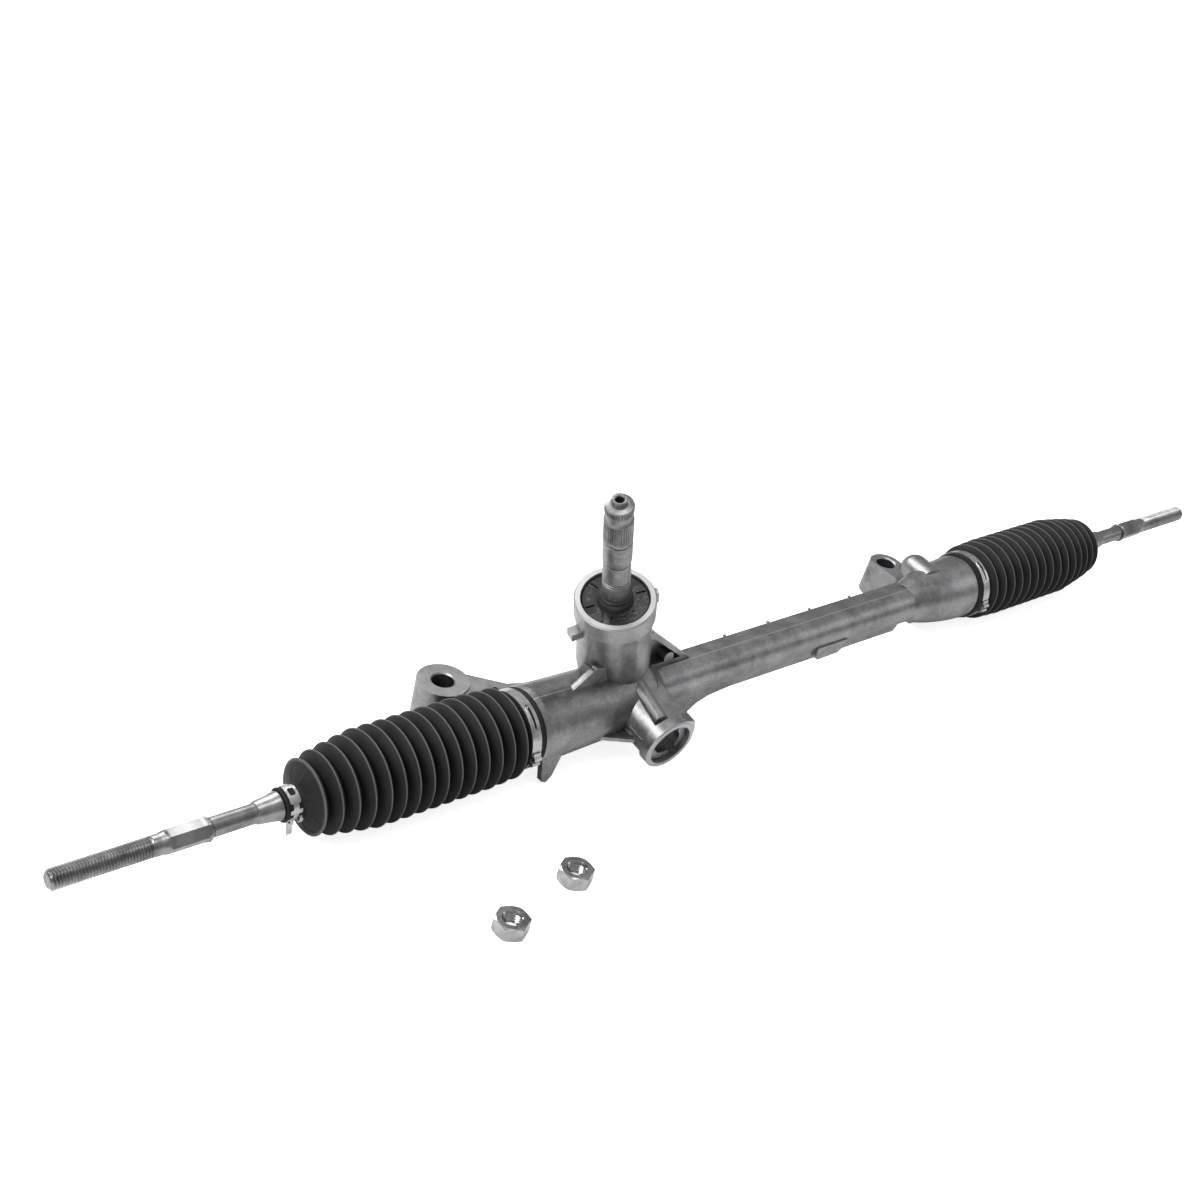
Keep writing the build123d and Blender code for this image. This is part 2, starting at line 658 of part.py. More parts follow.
def pinion_shaft():
    """Steel pinion: lower journal, helical teeth, bearing seat and the long input end."""
    half = PINION_TOOTH_HALF_LENGTH
    seat_top = BEARING_BOTTOM + BEARING_WIDTH
    lower = turned([
        (0, JOURNAL_END),
        (JOURNAL_RADIUS - 0.8, JOURNAL_END),
        (JOURNAL_RADIUS, JOURNAL_END + 0.8),
        (JOURNAL_RADIUS, -half + 0.5),
        (0, -half + 0.5),
    ])
    upper = turned([
        (0, half - 0.5),
        (PINION_NECK_RADIUS, half - 0.5),
        (PINION_NECK_RADIUS, half + 8),
        (SHAFT_RADIUS, half + 10),
        (SHAFT_RADIUS, BEARING_BOTTOM - 3.5),
        (SHAFT_SHOULDER_RADIUS, BEARING_BOTTOM - 3),
        (SHAFT_SHOULDER_RADIUS, BEARING_BOTTOM),
        (SHAFT_RADIUS, BEARING_BOTTOM),
        (SHAFT_RADIUS, seat_top),
        (SHAFT_RADIUS - 0.8, seat_top),
        (SHAFT_RADIUS - 0.8, seat_top + 1.3),
        (SHAFT_RADIUS, seat_top + 1.3),
        *round_groove(SHAFT_RADIUS, RIM_HEIGHT + 20, RIM_HEIGHT + 21.2),
        *round_groove(SHAFT_RADIUS, RIM_HEIGHT + 22.6, RIM_HEIGHT + 23.8),
        *round_groove(SHAFT_RADIUS, RIM_HEIGHT + 41, RIM_HEIGHT + 42.3),
        (SHAFT_RADIUS, RIM_HEIGHT + 43),
        (INPUT_RADIUS, RIM_HEIGHT + 44),
        *round_groove(INPUT_RADIUS, RIM_HEIGHT + 62.5, RIM_HEIGHT + 64),
        (INPUT_RADIUS, RIM_HEIGHT + 84.5),
        (INPUT_WAIST_RADIUS, RIM_HEIGHT + 87),
        (INPUT_WAIST_RADIUS, RIM_HEIGHT + 91),
        (INPUT_DISC_RADIUS, RIM_HEIGHT + 93),
        (INPUT_DISC_RADIUS, INPUT_TOP - 4.7),
        (INPUT_NUB_RADIUS + 1.2, INPUT_TOP - 3.7),
        (INPUT_NUB_RADIUS, INPUT_TOP - 3.7),
        (INPUT_NUB_RADIUS, INPUT_TOP - 0.8),
        (INPUT_NUB_RADIUS - 0.8, INPUT_TOP),
        (INPUT_HOLE_RADIUS, INPUT_TOP),
        (INPUT_HOLE_RADIUS, INPUT_TOP - 5),
        (0, INPUT_TOP - 6.5),
    ])
    return PINION_LINE * (helical_teeth() + lower + upper)


def bearing_race(inner, outer):
    """Ball race ring with its groove."""
    blank = ring(inner, outer, BEARING_BOTTOM, BEARING_BOTTOM + BEARING_WIDTH)
    groove = Torus(BALL_PITCH_RADIUS, BALL_RADIUS + RUNNING_CLEARANCE)
    return PINION_LINE * (blank - Pos(0, 0, BEARING_BOTTOM + BEARING_WIDTH / 2) * groove)


def bearing_inner_race():
    return bearing_race(SHAFT_RADIUS, BALL_PITCH_RADIUS - BALL_RADIUS + 1.0)


def bearing_outer_race():
    return bearing_race(BALL_PITCH_RADIUS + BALL_RADIUS - 1.0, BEARING_OUTER_RADIUS)


def bearing_balls():
    """Ring of balls, a group of separate solids."""
    place = Pos(BALL_PITCH_RADIUS, 0, BEARING_BOTTOM + BEARING_WIDTH / 2)
    balls = [
        PINION_LINE * Rotation(0, 0, 360 * k / BALL_COUNT) * place * Sphere(BALL_RADIUS)
        for k in range(BALL_COUNT)
    ]
    return Compound(children=balls)


def pinion_snap_ring():
    """Split ring in the shaft groove above the inner race."""
    bottom = BEARING_BOTTOM + BEARING_WIDTH
    full = ring(SHAFT_RADIUS - 0.7, SHAFT_RADIUS + 2, bottom, bottom + 1.2)
    gap = Pos(SHAFT_RADIUS, 0, bottom) * Box(8, 5, 5)
    return PINION_LINE * (full - gap)


def needle_pitch_radius():
    return JOURNAL_RADIUS + RUNNING_CLEARANCE + NEEDLE_RADIUS


def needle_cup_radius():
    return needle_pitch_radius() + NEEDLE_RADIUS + RUNNING_CLEARANCE + NEEDLE_CUP_WALL


def needle_cup():
    """Drawn cup of the lower pinion bearing, with its two turned-in lips."""
    outer = needle_cup_radius()
    inner = outer - NEEDLE_CUP_WALL
    lip = needle_pitch_radius() - 0.3
    return PINION_LINE * turned([
        (lip, NEEDLE_CUP_BOTTOM), (outer, NEEDLE_CUP_BOTTOM), (outer, NEEDLE_CUP_TOP), (lip, NEEDLE_CUP_TOP),
        (lip, NEEDLE_CUP_TOP - NEEDLE_CUP_WALL), (inner, NEEDLE_CUP_TOP - NEEDLE_CUP_WALL),
        (inner, NEEDLE_CUP_BOTTOM + NEEDLE_CUP_WALL), (lip, NEEDLE_CUP_BOTTOM + NEEDLE_CUP_WALL),
    ])


def needle_rollers():
    """Needles of the lower pinion bearing, a group of separate solids."""
    bottom = NEEDLE_CUP_BOTTOM + NEEDLE_CUP_WALL + 0.1
    top = NEEDLE_CUP_TOP - NEEDLE_CUP_WALL - 0.1
    needles = [
        PINION_LINE * Rotation(0, 0, 360 * k / NEEDLE_COUNT) * Pos(needle_pitch_radius(), 0, 0)
        * rod(NEEDLE_RADIUS, bottom, top)
        for k in range(NEEDLE_COUNT)
    ]
    return Compound(children=needles)


def pinion_lock_nut():
    """Threaded ring over the ball bearing, with radial slots for its spanner."""
    bottom = BEARING_BOTTOM + BEARING_WIDTH
    outer = NUT_THREAD_RADIUS - RUNNING_CLEARANCE
    inner = BEARING_OUTER_RADIUS - 5
    nut = turned([
        (inner, bottom), (outer, bottom), (outer, NUT_TOP - 1), (outer - 1, NUT_TOP), (SEAL_RADIUS, NUT_TOP),
        (SEAL_RADIUS, bottom + 4), (inner, bottom + 4),
    ])
    for k in range(NUT_SLOTS):
        nut -= Rotation(0, 0, 360 * k / NUT_SLOTS + 15) * Pos(SEAL_RADIUS + 6, 0, NUT_TOP) * Box(7, 1.6, 3)
    return PINION_LINE * nut


def pinion_seal():
    """Rubber seal between the lock nut and the turning shaft, with a bell-shaped lip."""
    inner = SHAFT_RADIUS + SOFT_CLEARANCE / 2
    outer = SEAL_RADIUS - RUNNING_CLEARANCE
    bottom = BEARING_BOTTOM + BEARING_WIDTH + 5
    return PINION_LINE * turned([
        (inner + 0.4, bottom),
        (outer, bottom),
        (outer, NUT_TOP + 0.5),
        (outer - 0.7, NUT_TOP + 3.5),
        (outer - 1.7, NUT_TOP + 5.5),
        (outer - 1.7, SEAL_TOP - 0.8),
        (inner + 0.4, SEAL_TOP),
        (inner, SEAL_TOP),
        (inner, SEAL_TOP - 3),
    ])


# Yoke group


def saddle(radius):
    """Cylinder along the rack, in the yoke line's own frame."""
    return Rotation(0, 90, 0) * Cylinder(radius, 4 * YOKE_RADIUS)


def yoke():
    """Rack guide: a piston with a saddle for the rack bar, a spring pocket and an O-ring groove."""
    body = rod(YOKE_RADIUS, YOKE_START, YOKE_END) - saddle(RACK_RADIUS + RUNNING_CLEARANCE + LINER_THICKNESS)
    pocket = rod(SPRING_RADIUS + SPRING_WIRE_RADIUS + 0.4, SPRING_SEAT, YOKE_END + 1)
    groove = ring(YOKE_RADIUS - 1.9, YOKE_RADIUS + 1, YOKE_END - 5.2, YOKE_END - 3)
    return YOKE_LINE * (body - pocket - groove)


def yoke_liner():
    """Plastic strip between the yoke's saddle and the rack bar."""
    outer = RACK_RADIUS + RUNNING_CLEARANCE + LINER_THICKNESS
    strip = saddle(outer) - saddle(RACK_RADIUS + RUNNING_CLEARANCE)
    keep = rod(YOKE_RADIUS - 1.5, YOKE_START + 1, YOKE_START + 14)
    return YOKE_LINE * (strip & keep)


def yoke_o_ring():
    middle = YOKE_END - 4.1
    return YOKE_LINE * Pos(0, 0, middle) * Torus(YOKE_RADIUS - 0.95, O_RING_RADIUS)


def yoke_spring():
    """Coil spring between the yoke's pocket and the plug."""
    low = SPRING_SEAT + SPRING_WIRE_RADIUS
    high = PLUG_START - SPRING_WIRE_RADIUS
    turns = 3.5
    path = Pos(0, 0, low) * Helix(pitch=(high - low) / turns, height=high - low, radius=SPRING_RADIUS)
    wire = Plane(origin=path @ 0, z_dir=path % 0) * Circle(SPRING_WIRE_RADIUS)
    return YOKE_LINE * sweep(wire, path=path)


def yoke_plug():
    """Threaded plug with a hollow mouth and three spanner notches."""
    outer = YOKE_BORE_RADIUS + 0.6 - RUNNING_CLEARANCE
    floor = PLUG_START + PLUG_FLOOR
    plug = turned([
        (0, PLUG_START),
        (outer - 1, PLUG_START),
        (outer, PLUG_START + 1),
        (outer, PLUG_END - 0.8),
        (outer - 0.8, PLUG_END),
        (PLUG_HOLLOW_RADIUS, PLUG_END),
        (PLUG_HOLLOW_RADIUS, floor),
        (0, floor),
    ])
    for k in range(PLUG_NOTCHES):
        turn = Rotation(0, 0, 360 * k / PLUG_NOTCHES + 70)
        plug -= turn * Pos(PLUG_HOLLOW_RADIUS + 1, 0, PLUG_END) * Box(6, 6, 7)
    return YOKE_LINE * plug


# Ball joints and tie rods


def lock_washer(side):
    """Washer between rack bar and socket."""
    inner = STUD_RADIUS + RUNNING_CLEARANCE
    washer = ring(inner, LOCK_WASHER_RADIUS, RACK_REACH, RACK_REACH + LOCK_WASHER_THICKNESS)
    return outward_line(side) * washer


def socket(side):
    """Steel ball socket, screwed into the rack bar's end, with two spanner flats."""
    back = RACK_REACH + LOCK_WASHER_THICKNESS
    mouth = BALL_DISTANCE + 11.5
    cavity = BALL_JOINT_RADIUS + SEAT_THICKNESS + 2 * RUNNING_CLEARANCE
    body = turned([
        (0, back - LOCK_WASHER_THICKNESS - STUD_LENGTH),
        (STUD_RADIUS, back - LOCK_WASHER_THICKNESS - STUD_LENGTH),
        (STUD_RADIUS, back),
        (SOCKET_RADIUS - 1, back),
        (SOCKET_RADIUS, back + 1),
        (SOCKET_RADIUS, mouth - 6),
        (SOCKET_RADIUS - 3.5, mouth),
        (0, mouth),
    ])
    hollow = Pos(0, 0, BALL_DISTANCE) * Sphere(cavity)
    throat = rod(sqrt(cavity ** 2 - 9.5 ** 2) + 0.3, BALL_DISTANCE + 8, mouth + 1)
    flat = Pos(0, 0, back + 8) * Box(4 * SOCKET_RADIUS, 10, 12.0)
    across = SOCKET_RADIUS - 1.6 + 5
    body = body - Pos(0, across, 0) * flat - Pos(0, -across, 0) * flat
    return outward_line(side) * (body - hollow - throat)


def ball_seat(side):
    """Plastic shell round the ball, open towards the tie rod."""
    inner = BALL_JOINT_RADIUS + RUNNING_CLEARANCE
    outer = BALL_JOINT_RADIUS + SEAT_THICKNESS
    shell = Sphere(outer) - Sphere(inner)
    mouth = turned([(0, 0), ((outer + 2) * tan(SEAT_MOUTH), outer + 2), (0, outer + 2)])
    return outward_line(side) * Pos(0, 0, BALL_DISTANCE) * (shell - mouth)


def tie_rod(side):
    """Forged tie rod: ball, inner rod, bellows groove, cone, shank, wrench hexagon and thread."""
    thread_start = TIP_DISTANCE - THREAD_LENGTH
    flat_end = thread_start - ROD_NECK_LENGTH
    flat_start = flat_end - ROD_FLAT_LENGTH
    cone_end = flat_start - SHANK_LENGTH
    cone_start = cone_end - ROD_CONE_LENGTH
    groove_start = cone_start - BOOT_GROOVE_LENGTH
    body = turned([
        (0, BALL_DISTANCE),
        (BALL_NECK_RADIUS, BALL_DISTANCE + 4),
        (BALL_NECK_RADIUS, BALL_DISTANCE + 22),
        (INNER_ROD_RADIUS, BALL_DISTANCE + 30),
        (INNER_ROD_RADIUS, groove_start - 2),
        (INNER_ROD_RADIUS + 0.8, groove_start - 1),
        (INNER_ROD_RADIUS + 0.8, groove_start),
        (BOOT_GROOVE_RADIUS, groove_start),
        (BOOT_GROOVE_RADIUS, cone_start),
        (ROD_CONE_RADIUS, cone_start),
        (ROD_CONE_RADIUS - 0.3, cone_start + 1),
        (SHANK_RADIUS + 0.9, cone_end - 2),
        (SHANK_RADIUS, cone_end),
        (SHANK_RADIUS, flat_start - 1.5),
        (ROD_FLAT_RADIUS, flat_start + 1),
        (ROD_FLAT_RADIUS, flat_end - 1.5),
        (ROD_NECK_RADIUS, flat_end + 0.5),
        (ROD_NECK_RADIUS, thread_start),
        (THREAD_RADIUS, thread_start + 0.7),
        (THREAD_RADIUS, TIP_DISTANCE - 1.8),
        (THREAD_RADIUS - 1.8, TIP_DISTANCE),
        (0, TIP_DISTANCE),
    ])
    body = body + Pos(0, 0, BALL_DISTANCE) * Sphere(BALL_JOINT_RADIUS)
    depth = ROD_FLAT_RADIUS
    flat = Pos((ROD_ACROSS_FLATS + depth) / 2, 0, (flat_start + flat_end) / 2 + 1.5) * Box(
        depth, 4 * depth, ROD_FLAT_LENGTH - 7
    )
    for k in range(6):
        body -= Rotation(0, 0, 60 * k) * flat
    return outward_line(side) * body


# Bellows and clamps


def groove_start_distance():
    """Start of the tie rod's bellows groove, from the housing shoulder."""
    outer = THREAD_LENGTH + ROD_NECK_LENGTH + ROD_FLAT_LENGTH + SHANK_LENGTH
    return TIP_DISTANCE - outer - ROD_CONE_LENGTH - BOOT_GROOVE_LENGTH


def crest_radius(crest):
    """Radius of a crest, counted from the tie rod: the first few grow."""
    share = min(1.0, crest / (GROWING_CRESTS - 1))
    return TIP_CREST_RADIUS + (CREST_RADIUS - TIP_CREST_RADIUS) * share


def bellows(side):
    """Bellows as a closed solid: pleated outside, smooth inside."""
    first = LAST_CREST + (CREST_COUNT - 1) * CREST_PITCH
    small_start = groove_start_distance() + 0.5
    small_end = small_start + SMALL_CUFF_LENGTH
    bore = SPIGOT_RADIUS + CUFF_GAP
    cuff_end = LARGE_CLAMP_START + LARGE_CLAMP_WIDTH + 1
    corners = [(bore, CUFF_GAP), (CUFF_RADIUS, CUFF_GAP), (CUFF_RADIUS, cuff_end)]
    for crest in reversed(range(CREST_COUNT)):
        distance = first - crest * CREST_PITCH
        radius = crest_radius(crest)
        corners.append((radius - 1.2, distance - 1.5))
        corners.append((radius, distance))
        corners.append((radius - 1.2, distance + 1.5))
        if crest > 0:
            corners.append((crest_radius(crest - 1) - CREST_DEPTH, distance + CREST_PITCH / 2))
    groove = BOOT_GROOVE_RADIUS + SOFT_CLEARANCE
    inside = TIP_CREST_RADIUS - CREST_DEPTH - BELLOWS_WALL
    corners.append((SMALL_CUFF_RADIUS + 1.5, small_start - 1))
    corners.append((SMALL_CUFF_RADIUS, small_start))
    corners.append((SMALL_CUFF_RADIUS, small_end))
    corners.append((groove, small_end))
    corners.append((groove, small_start))
    corners.append((groove + 2.5, small_start))
    corners.append((inside, first - 1))
    corners.append((CREST_RADIUS - CREST_DEPTH - BELLOWS_WALL, first - (GROWING_CRESTS - 1) * CREST_PITCH))
    corners.append((bore, SPIGOT_LENGTH + 4))
    return outward_line(side) * turned(corners)


def large_clamp(side):
    """Band clamp round the bellows' large end, with its crimped ear on the yoke side."""
    inner = CUFF_RADIUS + CUFF_GAP
    start = LARGE_CLAMP_START
    band = ring(inner, inner + LARGE_BAND, start, start + LARGE_CLAMP_WIDTH)
    angle = 140 if side == "right" else -140
    ear = Rotation(0, 0, angle) * Pos(inner + LARGE_BAND + 1.4, 0, start + LARGE_CLAMP_WIDTH / 2) * Box(
        3.6, 8, LARGE_CLAMP_WIDTH - 1
    )
    return outward_line(side) * (band + ear)


def small_clamp(side):
    """Spring clamp on the bellows' small end, with its tongue pointing down."""
    inner = SMALL_CUFF_RADIUS + CUFF_GAP
    start = groove_start_distance() + 3
    band = ring(inner, inner + SMALL_BAND, start, start + SMALL_CLAMP_WIDTH)
    front = 1 if side == "right" else -1
    tongue = Pos(-inner - 5, front * 5, start + SMALL_CLAMP_WIDTH / 2) * Box(16, 1.0, 5)
    return outward_line(side) * (band + tongue - rod(inner, start - 1, start + SMALL_CLAMP_WIDTH + 1))


# Loose nuts


def lock_nut(place):
    """Hexagon nut lying beside the rack, both faces chamfered."""
    corner = NUT_ACROSS_FLATS / sqrt(3)
    prism = extrude(RegularPolygon(corner, 6), NUT_HEIGHT)
    rounding = turned([
        (0, 0),
        (corner - 1.6, 0),
        (corner, 1.0),
        (corner, NUT_HEIGHT - 1.0),
        (corner - 1.6, NUT_HEIGHT),
        (0, NUT_HEIGHT),
    ])
    hole = turned([
        (0, -1), (NUT_HOLE_RADIUS + 2, -1), (NUT_HOLE_RADIUS, 1), (NUT_HOLE_RADIUS, NUT_HEIGHT - 1),
        (NUT_HOLE_RADIUS + 2, NUT_HEIGHT + 1), (0, NUT_HEIGHT + 1),
    ])
    return Pos(place[0], place[1], FLOOR) * Rotation(0, 0, 30) * ((prism & rounding) - hole)


def pieces():
    """Every node of the gear, by name."""
    yield "housing", housing()
    yield "rack_bush", rack_bush()
    yield "bush_snap_ring", bush_snap_ring()
    yield "bearing_outer_race", bearing_outer_race()
    yield "bearing_inner_race", bearing_inner_race()
    yield "bearing_balls", bearing_balls()
    yield "pinion_snap_ring", pinion_snap_ring()
    yield "needle_cup", needle_cup()
    yield "needle_rollers", needle_rollers()
    yield "pinion_lock_nut", pinion_lock_nut()
    yield "pinion_seal", pinion_seal()
    yield "pinion_shaft", pinion_shaft()
    yield "yoke", yoke()
    yield "yoke_liner", yoke_liner()
    yield "yoke_o_ring", yoke_o_ring()
    yield "yoke_spring", yoke_spring()
    yield "yoke_plug", yoke_plug()
    yield "rack_bar", rack_bar()
    for side in ("left", "right"):
        yield side + "_lock_washer", lock_washer(side)
        yield side + "_socket", socket(side)
        yield side + "_ball_seat", ball_seat(side)
        yield side + "_tie_rod", tie_rod(side)
        yield side + "_bellows", bellows(side)
        yield side + "_large_clamp", large_clamp(side)
        yield side + "_small_clamp", small_clamp(side)
    yield "front_lock_nut", lock_nut(FRONT_NUT_PLACE)
    yield "rear_lock_nut", lock_nut(REAR_NUT_PLACE)


os.makedirs("parts", exist_ok=True)
for name, piece in pieces():
    export_step(piece, "parts/" + name + ".step")
    print(name, round(piece.volume))
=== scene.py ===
# %% [markdown]
# A steering rack is mostly turned and cast metal, with two rubber bellows between the housing and the
# tie rods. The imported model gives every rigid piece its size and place. This script gives the pieces
# their finish, and makes again what plain solids only stand in for: threads, splines, folded rubber and
# the thin sheet metal clamps.

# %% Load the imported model
import json
from math import ceil, cos, pi, radians, sin, tan

import bmesh
import bpy
from mathutils import Matrix, Vector


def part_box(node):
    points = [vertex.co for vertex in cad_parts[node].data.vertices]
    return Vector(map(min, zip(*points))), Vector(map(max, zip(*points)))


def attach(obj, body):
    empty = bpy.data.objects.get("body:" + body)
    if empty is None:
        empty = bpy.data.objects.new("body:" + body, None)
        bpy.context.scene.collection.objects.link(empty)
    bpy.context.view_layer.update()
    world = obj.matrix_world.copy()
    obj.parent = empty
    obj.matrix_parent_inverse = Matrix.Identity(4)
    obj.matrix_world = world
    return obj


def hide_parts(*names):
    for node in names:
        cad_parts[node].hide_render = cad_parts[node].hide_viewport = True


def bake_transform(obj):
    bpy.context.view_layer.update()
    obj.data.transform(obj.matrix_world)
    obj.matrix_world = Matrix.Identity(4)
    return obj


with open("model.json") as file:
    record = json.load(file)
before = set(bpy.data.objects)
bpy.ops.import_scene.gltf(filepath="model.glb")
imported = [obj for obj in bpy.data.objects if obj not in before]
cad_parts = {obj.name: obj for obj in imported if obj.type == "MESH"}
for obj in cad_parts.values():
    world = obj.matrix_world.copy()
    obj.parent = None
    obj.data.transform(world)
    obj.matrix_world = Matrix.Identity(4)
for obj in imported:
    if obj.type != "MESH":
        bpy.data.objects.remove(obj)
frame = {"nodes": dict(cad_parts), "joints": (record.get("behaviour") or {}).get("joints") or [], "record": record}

MM = 0.001
TO_METRES = Matrix.Scale(MM, 4)
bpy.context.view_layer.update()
NODES = frame["nodes"]
JOINTS = {joint["name"]: joint for joint in frame["joints"]}

# %% [markdown]
# Everything is placed from lines that the model's joints give: the rack's axis, the pinion's axis and
# the way from the one to the other, along which the yoke presses. A local frame on a line lets a piece
# be made upright in millimetres, about its own Z, and then moved to its place in one step.

# %% The lines of the gear
RACK_POINT = Vector(JOINTS["left_rod_tilt"]["pos_m"])
PINION_POINT = Vector(JOINTS["pinion_turn"]["pos_m"])
PINION_AXIS = Vector(JOINTS["pinion_turn"]["axis"]).normalized()
CUFF_GAP = 0.1 * MM
SHOULDER = {
    "left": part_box("left_bellows")[1].x + CUFF_GAP,
    "right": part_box("right_bellows")[0].x - CUFF_GAP,
}
FLOOR_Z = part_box("front_lock_nut")[0].z


def line_frame(origin, along, up):
    """Matrix with local Z along a line and local X towards up."""
    z = Vector(along).normalized()
    x = (Vector(up) - Vector(up).dot(z) * z).normalized()
    y = z.cross(x)
    turn = Matrix((x, y, z)).transposed().to_4x4()
    return Matrix.Translation(origin) @ turn


def outward_line(side):
    """From a housing shoulder outwards along the rack, local X up."""
    way = -1 if side == "left" else 1
    return line_frame((SHOULDER[side], RACK_POINT.y, RACK_POINT.z), (way, 0, 0), (0, 0, 1))


PINION_LINE = line_frame(PINION_POINT, PINION_AXIS, (0, -1, 0))
TO_PINION = Vector((0, PINION_POINT.y - RACK_POINT.y, PINION_POINT.z - RACK_POINT.z)).normalized()
print("pinion leans", round(PINION_AXIS.angle((0, 0, 1)) * 180 / pi, 1), "degrees")

# %% [markdown]
# The camera comes first, so that every later piece can be compared with the photograph. Its place, its
# turn and its focal length were fitted to the ends of the rods, the ridges of the bellows and the
# housing's shoulders.

# %% Camera
CAMERA_PLACE = Vector((-0.93515, -0.77612, 0.78389))
CAMERA_TURN = (57.411, -11.732, -39.519)
LENS_MM = 53.44

camera = bpy.data.objects.new("camera", bpy.data.cameras.new("camera"))
bpy.context.scene.collection.objects.link(camera)
camera.location = CAMERA_PLACE
camera.rotation_euler = [radians(angle) for angle in CAMERA_TURN]
camera.data.lens = LENS_MM
camera.data.sensor_width = 36
camera.data.clip_end = 30
bpy.context.scene.camera = camera
bpy.context.scene.view_settings.view_transform = "Standard"
print("camera", round(CAMERA_PLACE.length, 2), "m from the middle of the bolt holes, lens", LENS_MM, "mm")

# %% [markdown]
# Node trees are hard to read as long lists of links. These two small classes let a tree be written as
# calls and sums: a Field wraps one socket, and arithmetic on Fields adds the Math nodes. The same
# classes serve materials and Geometry Nodes, because both use the same Math node.

# %% Node trees as expressions


class Field:
    """One output socket, with arithmetic that adds Math nodes."""

    def __init__(self, board, socket):
        self.board = board
        self.socket = socket

    def math(self, operation, *values):
        node = self.board.add("ShaderNodeMath", operation=operation)
        for place, value in enumerate((self,) + values):
            self.board.feed(node.inputs[place], value)
        return Field(self.board, node.outputs[0])

    def __add__(self, other):
        return self.math("ADD", other)

    def __radd__(self, other):
        return self.math("ADD", other)

    def __sub__(self, other):
        return self.math("SUBTRACT", other)

    def __rsub__(self, other):
        return (self * -1).math("ADD", other)

    def __mul__(self, other):
        return self.math("MULTIPLY", other)

    def __rmul__(self, other):
        return self.math("MULTIPLY", other)

    def __truediv__(self, other):
        return self.math("DIVIDE", other)

    def __pow__(self, other):
        return self.math("POWER", other)

    def __gt__(self, other):
        return self.math("GREATER_THAN", other)

    def __lt__(self, other):
        return self.math("LESS_THAN", other)

    def cosine(self):
        return self.math("COSINE")

    def size(self):
        return self.math("ABSOLUTE")

    def fraction(self):
        return self.math("FRACT")

    def root(self):
        return self.math("SQRT")

    def least(self, other):
        return self.math("MINIMUM", other)

    def most(self, other):
        return self.math("MAXIMUM", other)

    def clamped(self):
        return self.most(0.0).least(1.0)

    def between(self, low, high):
        """0 below low, 1 above high, and a straight climb between."""
        return ((self - low) / (high - low)).clamped()


class Board:
    """A node tree that is filled by calls."""

    def __init__(self, tree):
        self.tree = tree
        tree.nodes.clear()

    def feed(self, socket, value):
        if isinstance(value, Field):
            self.tree.links.new(value.socket, socket)
        else:
            socket.default_value = value

    def add(self, kind, sockets=None, stops=(), **settings):
        """A node of a kind, with its settings first, then the values or links of its sockets."""
        node = self.tree.nodes.new(kind)
        for name, value in settings.items():
            setattr(node, name, value)
        for place, (position, colour) in enumerate(stops):
            ramp = node.color_ramp.elements
            stop = ramp[place] if place < 2 else ramp.new(position)
            stop.position = position
            stop.color = colour
        for name, value in (sockets or {}).items():
            self.feed(node.inputs[name], value)
        return node

    def out(self, node, name=0):
        return Field(self, node.outputs[name])


# %% [markdown]
# Shop-floor operations make good Geometry Nodes trees. A bar is first turned as a plain blank with
# enough rings, and then a tree rolls a thread on it, mills its flats or cuts its splines, by moving
# each ring's points in or out. The trees have named sizes, so one tree serves both tie rods and nuts.

# %% Geometry Nodes: the shared frame of every operation


def operation_tree(name, sizes):
    """Empty tree with a mesh input and one named number for each size."""
    tree = bpy.data.node_groups.new(name, "GeometryNodeTree")
    tree.interface.new_socket("Blank", in_out="INPUT", socket_type="NodeSocketGeometry")
    for size in sizes:
        tree.interface.new_socket(size, in_out="INPUT", socket_type="NodeSocketFloat")
    tree.interface.new_socket("Finish", in_out="INPUT", socket_type="NodeSocketMaterial")
    tree.interface.new_socket("Piece", in_out="OUTPUT", socket_type="NodeSocketGeometry")
    board = Board(tree)
    entry = board.add("NodeGroupInput")
    values = {size: board.out(entry, size) for size in sizes}
    return board, entry, values


def place_of_points(board):
    """The X, Y and Z of each point, its distance from the axis and its angle in turns."""
    spot = board.add("GeometryNodeInputPosition")
    parts = board.add("ShaderNodeSeparateXYZ", {"Vector": board.out(spot)})
    x, y, z = (board.out(parts, letter) for letter in "XYZ")
    distance = (x * x + y * y).root().most(1e-7)
    angle = y.math("ARCTAN2", x)
    return x, y, z, distance, angle


def end_tree(board, entry, shape):
    """Makes the shape a real mesh, puts the finish on it and hands it out."""
    real = board.add("GeometryNodeRealizeInstances", {"Geometry": board.out(shape)})
    finish = board.add("GeometryNodeSetMaterial", {
        "Geometry": board.out(real), "Material": board.out(entry, "Finish"),
    })
    leave = board.add("NodeGroupOutput")
    board.feed(leave.inputs["Piece"], board.out(finish))


def close_operation(board, entry, x, y, z, distance, new_distance):
    """Moves each point to its new distance from the axis and ends the tree."""
    grow = new_distance / distance
    joined = board.add("ShaderNodeCombineXYZ", {"X": x * grow, "Y": y * grow, "Z": z})
    moved = board.add("GeometryNodeSetPosition", {
        "Geometry": board.out(entry, "Blank"), "Position": board.out(joined),
    })
    end_tree(board, entry, moved)


def keep_result(piece, modifier):
    """Makes a modifier's result the piece's own plain mesh, and takes the modifier off."""
    bpy.context.view_layer.update()
    seen = piece.evaluated_get(bpy.context.evaluated_depsgraph_get())
    made = bpy.data.meshes.new_from_object(seen)
    piece.modifiers.remove(modifier)
    blank = piece.data
    piece.data = made
    bpy.data.meshes.remove(blank)


